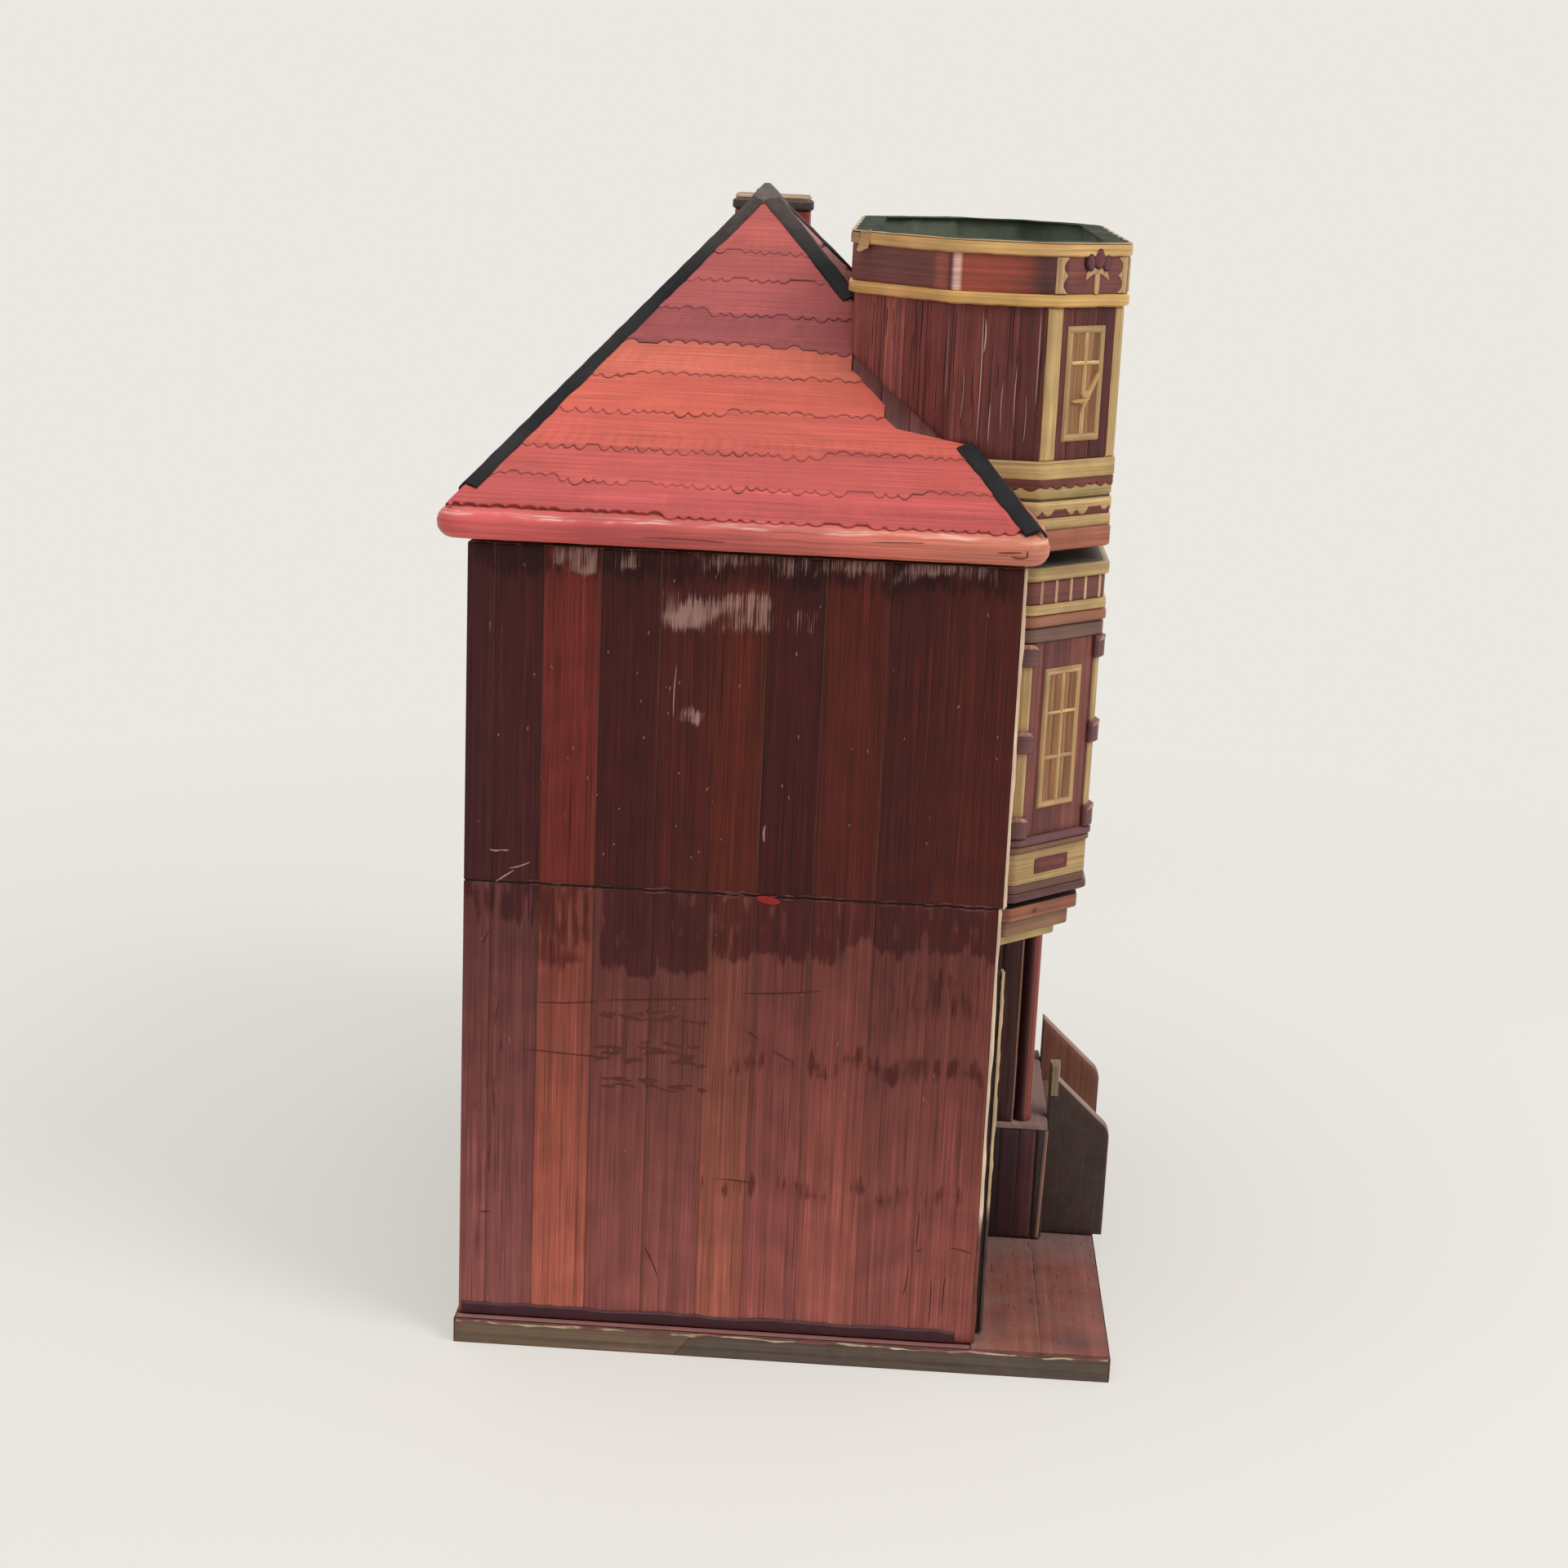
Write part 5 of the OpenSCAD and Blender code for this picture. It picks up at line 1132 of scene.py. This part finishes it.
def turret_field():
    """Upright straw round the turret between its foot and its crown, down to the roof behind, and straw that
    fills the gap between the turret and the cut tiles."""
    piece("turret_straw", "roof_lid", "mahogany_straw", wall_straw)
    wall, at = turret_side, turret_side.at
    tints = [(112, 60, 56), (104, 54, 50), (120, 66, 60), (110, 56, 52), (96, 48, 46), (112, 58, 52)]
    stops = [0, *(at(*corner) for corner in TURRET[2:]), wall.length]
    edges = np.concatenate([widths(stops[k], stops[k + 1], 6.0, k)[:-1] for k in range(7)] + [[wall.length]])
    # Painted light and shade: the straw on the back left facet is painted lighter, and towards the front
    # corner darker, by how light falls on the facets
    spots = [at(-46, 22), at(-55, 8), at(-55, -3)]
    painted_facet_light = lambda a: np.stack([np.interp(a, spots, [1.24, far, far - 0.14]) for far in (0.99, 0.89, 0.9)], -1)
    tones = [lambda a, w, tint=tint: np.array(tint) * painted_facet_light(a) for tint in tints]
    ribbons(wall, edges, over_roof(wall, FOOT_TOP - 0.05, -1.3), CROWN_FOOT + 0.05, 0.25, tones, seed=7,
        rows=14, fray=0.1, state=(0.12, 0.05, 0.05), relief=0.03, cup=0.05, streaks=0.14)
    # Up the slope this straw starts under the tiles' cut and ends at the turret's side, or behind it at the
    # facet, where x is y less 68.7
    climb = lambda x: (x + ROOF_HALF_W) / math.cos(SIDE_ANGLE)
    tiles = lambda a: climb(np.maximum(CUT_X, CUT_X + (ROOF_BACK - a - CUT_Y) / CUT_SLANT)) - 0.5
    facet = lambda a: climb(np.maximum(-55, ROOF_BACK - a - 68.7)) + 0.3
    for k, place in both(proud(SIDE_SLOPE, -0.55)):
        ribbons(place, widths(ROOF_BACK - 31.1, ROOF_BACK - 10.4, 5, k), tiles, facet, 0.1,
            [(98, 47, 43), (90, 43, 40), (103, 49, 45)], 5 + k, rows=8, state=(0.12, 0.05, 0.05),
            streaks=0.14)
    scratches = [(at(-55, y), z, length, 90, width) for y, z, length, width in (
        (14.6, 178, 14, 0.2), (8.6, 175, 22, 0.22), (8.2, 182, 6, 0.3), (-1.3, 179, 17, 0.2),
        (4.5, 170, 9, 0.16), (2.2, 172, 12, 0.16), (6.5, 167, 7, 0.2), (0.4, 168, 8, 0.14),
        (11.5, 172, 9, 0.16))]
    marks(proud(wall, 0.25), scratches, (168, 134, 124), 0.08)
    cracks = strewn(34, (at(-40, 29), at(-55, -2.5)), (168, 185), (4, 16), (89.6, 90.4), (0.08, 0.18), 6)
    marks(proud(wall, 0.25), cracks, (44, 20, 22), 0.06)


def turret_foot():
    """The mouldings round the turret's foot: strips of straw that end at the roof, two of them wavy."""
    piece("turret_foot_straw", "roof_lid", "yellow_straw", dull_straw, "turret_foot")
    wall, high = turret_side, 16.0
    for k, (upper, lower, out, tint, drip) in enumerate((
            (0, 0.21, 0.75, YELLOW, 0), (0.19, 0.27, 0.62, (104, 52, 46), 1.7), (0.28, 0.42, 0.45, OLIVE, 0),
            (0.42, 0.447, 0.25, (84, 70, 44), 0), (0.445, 0.545, 0.6, YELLOW, 1.5),
            (0.53, 0.635, 0.4, (104, 50, 46), 0), (0.63, 0.765, 0.6, YELLOW, 0),
            (0.765, 1.0, 0.8, SALMON, 0))):
        low, up = FOOT_TOP - lower * high, FOOT_TOP - upper * high - 0.03
        v = spaced(up - low, 7)
        y = np.clip(ROOF_FRONT + (low + (up - low) * v - EAVE_TOP) * 0.987 + 0.5, -4.4, 7.4)
        start, end = (np.array([wall.at(side * 55, d) for d in y]) for side in (-1, 1))
        corners = wall.run[(wall.run > np.max(start) + 0.2) & (wall.run < np.min(end) - 0.2)]
        share = np.unique(np.concatenate([np.linspace(0, 1, 330),
            (corners - start[0]) / (end[0] - start[0])]))
        a = start + share[:, None] * (end - start)
        foot = low - drip * np.abs(lobes(a[:, 0], 3 + k, 3.2, 1.0, 0.15))
        lay(wall, a, foot, up, out, tint, v=v, seed=20 + k, state=(0.05, 0.02, 0.08))


def at_corners(wall, *reaches):
    """The four front corners, numbered, with the ends of a strip that reaches before and after each."""
    for k, (corner, (before, after)) in enumerate(zip(FRONT_CORNERS, reaches)):
        middle = wall.at(*corner)
        yield k, max(middle - before, 0.05), min(middle + after, wall.length - 0.05)


def corner_strips(wall, low, high, seed, *reaches):
    """Yellow strips folded over the four front corners."""
    for k, start, end in at_corners(wall, *reaches):
        lay(wall, (start, end, 0.4), low, high, 0.45, YELLOW, v=16, up=True, seed=seed + k,
            state=(0.06, 0.02, 0.06))


def window(place, low, high, seed, broken=False):
    """A window of straw: tan panes of upright strips, thin crossing bars, and a yellow frame over them. The
    lower bar may be broken, with its pieces across the pane."""
    half, frame_w, bar, frame_tint = 4.8, 1.3, 0.8, (182, 147, 103)
    tan = [(152, 110, 76), (140, 98, 67), (156, 114, 79), (136, 95, 65)]
    ribbons(place, widths(1.0 - half, half - 1.0, 1.9, seed), low + 1, high - 1, 0.38, tan, seed, 8,
        pitch=0.4, rounding=0.1, cup=0)
    for share in (0.68,) if broken else (0.36, 0.68):
        z = low + share * (high - low)
        lay(place, (1.1 - half, half - 1.1), z - bar / 2, z + bar / 2, 0.68, (200, 166, 118), seed=seed + 3)
    lay(place, (-bar / 2, bar / 2, 0.3), low + 1, high - 1, 0.75, (206, 172, 124), up=True, v=8,
        seed=seed + 4)
    for start in (-half, half - frame_w):
        lay(place, (start, start + frame_w, 0.4), low, high, 0.6, frame_tint, up=True, v=10, seed=seed + 5)
    for start in (low, high - frame_w):
        lay(place, (0.1 - half, half - 0.1, 0.9), start, start + frame_w, 0.64, frame_tint, seed=seed + 6)
    if broken:
        marks(place, [(1.5, 172.6, 8.2, 58, 0.95), (-0.8, 171.2, 4.6, 6, 0.7), (0.3, 172.2, 1.8, 30, 1.1)],
            (190, 152, 100), 0.95)


def windows(low, high, seed, broken=False):
    """A window on each front facet, the first of them perhaps broken, and three in front."""
    for k, place in enumerate(FACETS):
        window(place, low, high, seed + 9 * k, broken and k == 0)
    for k, x in enumerate(FRONT_WINDOWS):
        window(proud(FLAT_FRONT, 0, x), low, high, seed + 30 + 9 * k)


def turret_trim():
    """The turret's yellow corner strips and its five windows."""
    piece("turret_corner_straw", "roof_lid", "yellow_straw", lacquered_straw, "turret_pilasters")
    corner_strips(turret_side, FOOT_TOP + 0.05, CROWN_FOOT - 0.05, 5, (0.5, 2.9), (2.0, 2.2), (2.2, 2.0),
        (2.9, 0.5))
    piece("turret_window_straw", "roof_lid", "yellow_straw", dull_straw, "turret_windows")
    windows(164, 184, 10, broken=True)


def bay():
    """Straw over the bay: foot, panel band, sill, field, windows, corner strips, blocks and frieze."""
    wall = bay_side
    whole = (0, wall.length, 0.9)
    piece("bay_foot_straw", "upper_drawer", "brown_straw", lacquered_straw, "bay_foot")
    lay(wall, whole, 80.4, 82.0, 0.95, (84, 46, 48), seed=3, state=(0.1, 0, 0.2))
    lay(wall, whole, 81.95, 83.55, 0.5, (108, 68, 52), seed=4, state=(0.1, 0, 0.2))

    piece("bay_panel_straw", "upper_drawer", "yellow_straw", lacquered_straw, "bay_panel_band")
    lay(wall, whole, 83.6, 89.65, 0.45, (180, 148, 96), seed=6, v=12, state=(0.06, 0, 0.15))
    spots = [(place, 0, 4.6) for place in FACETS] + [(FLAT_FRONT, x, 5.6) for x in (-28, -14, 0, 14, 28)]
    for k, (place, middle, half) in enumerate(spots):
        lay(place, (middle - half, middle + half), 85.0, 88.3, 0.58, (98, 50, 46), seed=60 + k, v=9,
            streaks=0.12)
        lay(place, (middle - half + 1, middle + half - 1), 85.9, 87.4, 0.64, (116, 64, 56), seed=70 + k)

    piece("bay_sill_straw", "upper_drawer", "purple_straw", lacquered_straw, "bay_sill")
    lay(wall, whole, 89.7, 91.0, 0.85, (126, 86, 64), seed=7, state=(0.1, 0, 0.2))
    lay(wall, whole, 90.95, 92.45, 1.15, (102, 56, 62), seed=8, state=(0.1, 0, 0.3))

    piece("bay_straw", "upper_drawer", "mahogany_straw", hazy_straw)
    ribbons(wall, widths(0, wall.length, 6.2, 8), 92.4, 128.5, 0.22, FIELD_TINTS, seed=33, rows=20,
        relief=0.03, cup=0.05, streaks=0.1, state=(0.05, 0.1, 0.1))

    piece("bay_window_straw", "upper_drawer", "yellow_straw", dull_straw, "bay_windows")
    windows(97.55, 123.35, 50)

    piece("bay_corner_straw", "upper_drawer", "yellow_straw", lacquered_straw, "bay_pilasters")
    corner_strips(wall, 92.5, 128.35, 15, (2.2, 1.0), (1.1, 2.2), (2.2, 1.1), (1.0, 2.2))

    piece("bay_block_straw", "upper_drawer", "purple_straw", lacquered_straw, "bay_blocks")
    for k, start, stop in at_corners(wall, (2.6, 1.5), (1.5, 2.4), (2.4, 1.5), (1.5, 2.6)):
        for level, low in enumerate((92.5, 108.4, 124.25)):
            lay(wall, (start, stop, 0.5), low, low + 4.1, 1.3, PURPLE, seed=9 * k + level, back=0.4,
                state=(0.1, 0.05, 0.25))
            petal(proud(wall, 1.2), (start + 0.3, low + 3.1), (stop - 0.3, low + 3.1), 0.8, 0.22,
                (172, 124, 108), bend=-0.7, seed=level)

    piece("bay_frieze_straw", "upper_drawer", "salmon_straw", lacquered_straw, "bay_frieze")
    for k, (low, high, out, tint) in enumerate((
            (128.4, 131.15, 0.75, (112, 84, 72)), (131.2, 133.25, 1.15, (158, 102, 76)),
            (133.3, 135.25, 0.95, YELLOW), (135.3, 139.5, 0.45, (112, 56, 48)),
            (139.5, 141.95, 1.15, (176, 146, 96)))):
        lay(wall, whole, low, high, out, tint, seed=30 + k, state=(0.08, 0.02, 0.15))
    bars = [(place, np.linspace(-7.3, 8.0, 5)) for place in FACETS]
    bars.append((FLAT_FRONT, np.linspace(-40, 40, 22)))
    for place, middles in bars:
        for k, middle in enumerate(middles):
            lay(place, (middle - 0.33, middle + 0.33, 0.3), 135.4, 139.45, 0.62, (184, 154, 122), up=True,
                seed=k, back=0.4)

    piece("upper_front_straw", "upper_drawer", "mahogany_straw", wall_straw)
    for k, place in both(flat((-STRIP_X, -FORWARD, 0), X, Z)):
        seed = 3 + 2 * k
        ribbons(place, widths(0.1, 10.75, 5.3, seed), 80.5, 142, 0.2, FIELD_TINTS, seed=seed, rows=24,
            relief=0.02)


# Lower front: canopy, porch and stairs

def canopy():
    """Straw round the canopy's three boards: salmon with a knot, tan with an olive edge, and pale yellow."""
    piece("canopy_straw", "lower_drawer", "salmon_straw", lacquered_straw)
    for inset, low, high, tint, seed in (
            (0.7, 76.55, 79.0, (154, 94, 70), 3), (2.2, 73.15, 76.4, (142, 102, 74), 5),
            (4.5, CANOPY_FOOT + 0.05, 73.0, (190, 160, 108), 7)):
        k = inset * math.tan(math.radians(22.5))
        half = [(55 - inset, -0.05), (55 - inset, -3 + k), (42 - k, -16 + inset)]
        wall = Wall([(-x, y) for x, y in half] + half[::-1], radius=0.8)

        def colour(a, w):
            straws = np.array(tint) * (1 + 0.08 * wander(a, 26, seed))[..., None]
            edge = 0.5 * (seed == 5) * np.exp(-((w - low) / 0.4) ** 2)
            knot = 0.7 * (seed == 3) * np.exp(-((a - 9) ** 2 + (w - low - 1.2) ** 2) / 0.16)
            return mixed(knot, mixed(edge, straws, (120, 108, 62)), (0, 0, 0))

        lay(wall, (0, wall.length, 0.9), low, high, 0.22, colour, v=12, seed=seed, state=(0.06, 0, 0.05))


def lower_front():
    """Upright straw over the lower front on both sides of the porch, and the tan strips at its ends."""
    left = flat((-STRIP_X, 0, 0), X, Z)
    piece("lower_front_straw", "lower_drawer", "mahogany_straw", wall_straw)
    for k, place in both(left):
        ribbons(place, widths(3.1, 44.1, 6.8, 3 + k), 0.5, CANOPY_FOOT - 0.1, 0.2, FIELD_TINTS, seed=13 + k,
            rows=28, relief=0.02, state=(0.1, 0.1, 0.1))
        ribbons(place, widths(0.1, 11, 5.5, 3 + k), CANOPY_FOOT, 79.6, 0.2, FIELD_TINTS, seed=23 + k, rows=6)
    piece("end_strip_straw", "lower_drawer", "pale_straw", dull_straw, "lower_front_strips")
    z = np.linspace(0.45, 70.25, 150)
    pale = lambda a, w: shaded((188, 162, 124), 22, 6, (52, 32, 30))(w, a + 2 * fibres(a, 1.3, 4))
    for k, place in both(upright(left)):
        split = 1.7 + 0.35 * wander(z, 31, 5 + k) + 0.1 * fibres(z, 1.2, 6)
        # A dark sheet under the end strips, showing beside and between them: painted shade for the shaded
        # gaps there
        lay(place, z, -0.1, 2.9, 1.45 + 0.25 * wander(z, 9, 2)[:, None], (44, 30, 28), back=0, seed=3 + k)
        lay(place, z, -0.15 + 0.1 * np.abs(fibres(z, 1.1, 4)), split - 0.12,
            2.05 + 0.2 * fibres(z, 2.1, 12)[:, None], pale, back=1.5, seed=3 + k, state=(0.1, 0, 0.2))
        lay(place, z, split + 0.08, 2.95 - 0.25 * np.abs(fibres(z, 1.6, 8 + k)), 2.15, pale, back=1.4,
            seed=5 + k, state=(0.1, 0, 0.2))


def porch():
    """Straw over the door's frame and leaf, turned columns, the slab and the podium's sides."""
    left, front = flat((-PODIUM_HALF_W, 0, 0), -Y, Z), flat((-PODIUM_HALF_W, -7.3, 0), X, Z)
    low, high, lintel = SLAB_TOP + 0.1, CANOPY_FOOT - 0.1, 64.7
    piece("door_frame_straw", "lower_drawer", "brown_straw", lacquered_straw)
    for k, side, face in ((0, left, front), (1, mirrored(left), mirrored(front))):
        ribbons(side, [0.05, 3.4, 7.2], low, high, 0.15, [(58, 30, 28), (70, 36, 32)], seed=5 + k, rows=24,
            state=(0.1, 0.4, 0.05), streaks=0.25)
        lay(face, (-0.1, 0.5, 0.3), low, high, 0.22, (160, 112, 92), up=True, v=24, seed=9 + k)
        lay(face, (0.55, 1.95, 0.4), low, lintel, 0.15, (116, 62, 50), up=True, v=24, seed=10 + k)
    lay(front, (0.6, 42.4, 1.0), lintel + 0.1, high, 0.16, (124, 66, 54), v=14, seed=12)
    lay(front, (2, 41, 1.0), lintel - 0.3, lintel + 0.5, 0.3, YELLOW, seed=14)

    piece("door_straw", "lower_drawer", "mahogany_straw", lacquered_straw)
    door = flat((0, -0.8, 0), X, Z)
    ribbons(door, widths(-19.4, 19.4, 6.4, 3), low, lintel - 0.1, 0.15, FIELD_TINTS, seed=3, rows=20)
    for middle in (-9.8, 9.8):
        for low, high in ((28, 43), (46, 62)):
            for start in (middle - 7.4, middle + 6.4):
                lay(door, (start, start + 1.0, 0.4), low, high, 0.4, YELLOW, up=True, seed=int(start) + 20)
            for start in (low, high - 1):
                lay(door, (middle - 7.4, middle + 7.4), start, start + 1, 0.42, YELLOW, seed=low)

    piece("column_straw", "lower_drawer", "brown_straw", lacquered_straw, "columns")
    z = np.array([25, 25.3, 25.6, 26.6, 26.9, 27.2, 34, 42, 50, 58, 66, 68.6, 68.9, 69.2, 70.2, 70.5, 70.7])
    r = np.array([1.72, 1.85, 1.88, 1.88, 1.8, 1.68, 1.67, 1.68, 1.69, 1.7, 1.71, 1.72, 1.8, 1.88, 1.88,
        1.85, 1.75])
    turn = np.linspace(0, 2 * np.pi, 36, endpoint=False)[:, None]
    for k, x in enumerate((-19.1, 19.1)):
        rings = [np.stack([x + radius * np.cos(turn), -9.4 + radius * np.sin(turn), z + 0 * turn], -1)
            for radius in (r, 0.2 + 0 * r)]
        # Painted shade: each column's side that faces back and to the left is darkened
        tint = mixed(np.clip(np.cos(turn - 2.3) * 2.2 - 0.8, 0, 1), (132, 66, 58), (52, 26, 28))
        tint = tint * (1 + 0.12 * fibres(turn * 3, 0.5, 5 + k))[..., None]
        grain = np.stack([turn * 1.8 + 0 * z, z + 0 * turn], -1) + 5 + k
        add_sheet(*rings, grain, tint, (0.08, 0, 0.02), wrap=True)

    piece("slab_straw", "lower_drawer", "pale_straw", dusty_straw, "podium_slab")
    round_block((-21.9, PODIUM_FRONT, 23.82), (21.9, -0.02, SLAB_TOP), 0.35, (160, 122, 112), (0.1, 0, 0.6),
        0, 30, 5, 0.15)

    piece("podium_straw", "lower_drawer", "black_straw", lacquered_straw)
    tints = [(24, 17, 19), (34, 20, 24), (58, 32, 38), (80, 44, 46), (50, 28, 30)]
    for k, place in both(left):
        ribbons(place, [0.05, 2.3, 5.2, 9.0, 12.4, 13.4], 0.6, 23.7, 0.2, tints, seed=6 + k, rows=16,
            streaks=0.14, state=(0.08, 0.1, 0.06))
        leaning = lambda a, w, h: place(w + 0.025 * (a - 12), a, h)
        lay(leaning, np.linspace(0.6, 23.6, 30), 13.75, 14.5, 0.3, (148, 110, 92), seed=8 + k,
            state=(0.05, 0, 0.3))
    for k, place in both(flat((-PODIUM_HALF_W, PODIUM_FRONT, 0), X, Z)):
        ribbons(place, [0.05, 3.3], 0.6, 23.7, 0.15, [(104, 60, 58)], seed=16 + k, rows=12)


def stairs():
    """Facings on the stringers with a pale strip along their tops, and five treads."""
    piece("stringer_straw", "lower_drawer", "black_straw", lacquered_straw)
    foot, top, out, reach, r = 23.0, 34.5, 27.0, -PODIUM_FRONT, 3.5
    slope = (top - foot) / (out - reach)
    steep = math.hypot(1, slope)
    edge = Wall([(out, 0.5), (out, foot), (reach + 0.02, top)], radius=r, on_side=True)

    def profile(a):
        middle = top - (out - r - reach) * slope - r * steep
        shoulder = middle + np.sqrt(np.clip(r ** 2 - (a - out + r) ** 2, 0, None))
        return np.where(a > out - r + r * slope / steep, shoulder, top - (a - reach) * slope) - 0.05

    outer, inner = flat((-18, 0, 0), -Y, Z), flat((-15, 0, 0), Y, Z)
    sides = outer, lambda a, w, h: inner(-a, w, h), edge
    brown = shaded((150, 112, 98), 20, 6, (70, 44, 38))
    for k, (outside, inside, over) in enumerate((sides, map(mirrored, sides))):
        for place, tint, seed in ((outside, (52, 34, 28), 3), (inside, (122, 70, 52), 8)):
            ribbons(place, [reach + 0.05, 26.95], 0.6, profile, 0.15, [tint], seed=seed + k, rows=18,
                pitch=0.4, state=(0.08, 0.06, 0.18), streaks=0.1)
        if k == 0:
            lay(outer, (reach + 0.05, reach + 2.0, 0.3), 29.5, 36.4, 0.3, (152, 134, 96), up=True, v=12,
                back=-2.9, seed=14, state=(0.1, 0, 0.3))
        a = steps(edge, 0, edge.length, 0.5)
        low = -18.1 + 0.1 * np.abs(fibres(a, 1.1, 4))
        lay(over, a, low, -14.95, 0.18, lambda a, w: brown(w, a), seed=5 + k, state=(0.1, 0, 0.35))
    piece("tread_straw", "lower_drawer", "brown_straw", dull_straw, "stair_steps")
    run, rise = (out - 3 - reach) / 5, SLAB_TOP / 6
    for i in range(5):
        round_block((-14.98, -reach - (i + 1) * run, 0.5),
            (14.98, -reach - i * run, SLAB_TOP - (i + 1) * rise), 0.25, (112, 70, 54), (0.15, 0, 0.4), 0, 20,
            3 + i, 0.06)


take_photograph()
light_room()
lay_floor()
for lay_part in (side_walls, back_wall, wall_trim, base, roof, hips, eave, chimney, turret_crown,
        turret_field, turret_foot, turret_trim, bay, canopy, lower_front, porch, stairs):
    lay_part()
for row in pieces:
    make_piece(*row)

for material, names in (
        (upright_wood, "lower_side_walls upper_side_walls lower_back_wall upper_back_wall"),
        (bare_wood, "middle_board tray_floor tray_front_rail roof_boards turret_floor "
            "upper_drawer_bottom upper_drawer_sides upper_drawer_back "
            "lower_drawer_bottom lower_drawer_sides lower_drawer_back"),
        (green_paper, "tray_lining upper_drawer_lining lower_drawer_lining lid_lining turret_lining"),
        (old_brass, "hinge_wall_leaves hinge_lid_leaves hinge_pins hinge_wall_nails hinge_lid_nails"),
        (black_stain, "bay_top_board podium stair_stringers canopy"),
        (stained_wood, "upper_drawer_front lower_drawer_front bay_wall turret_wall door_leaf door_frame "
            "eave_board")):
    for name in names.split():
        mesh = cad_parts[name].data
        mesh.materials.clear()
        mesh.materials.append(material)

sizes = {"cad": [list(corner) for corner in cad_box], "visual": [list(corner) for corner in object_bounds()]}
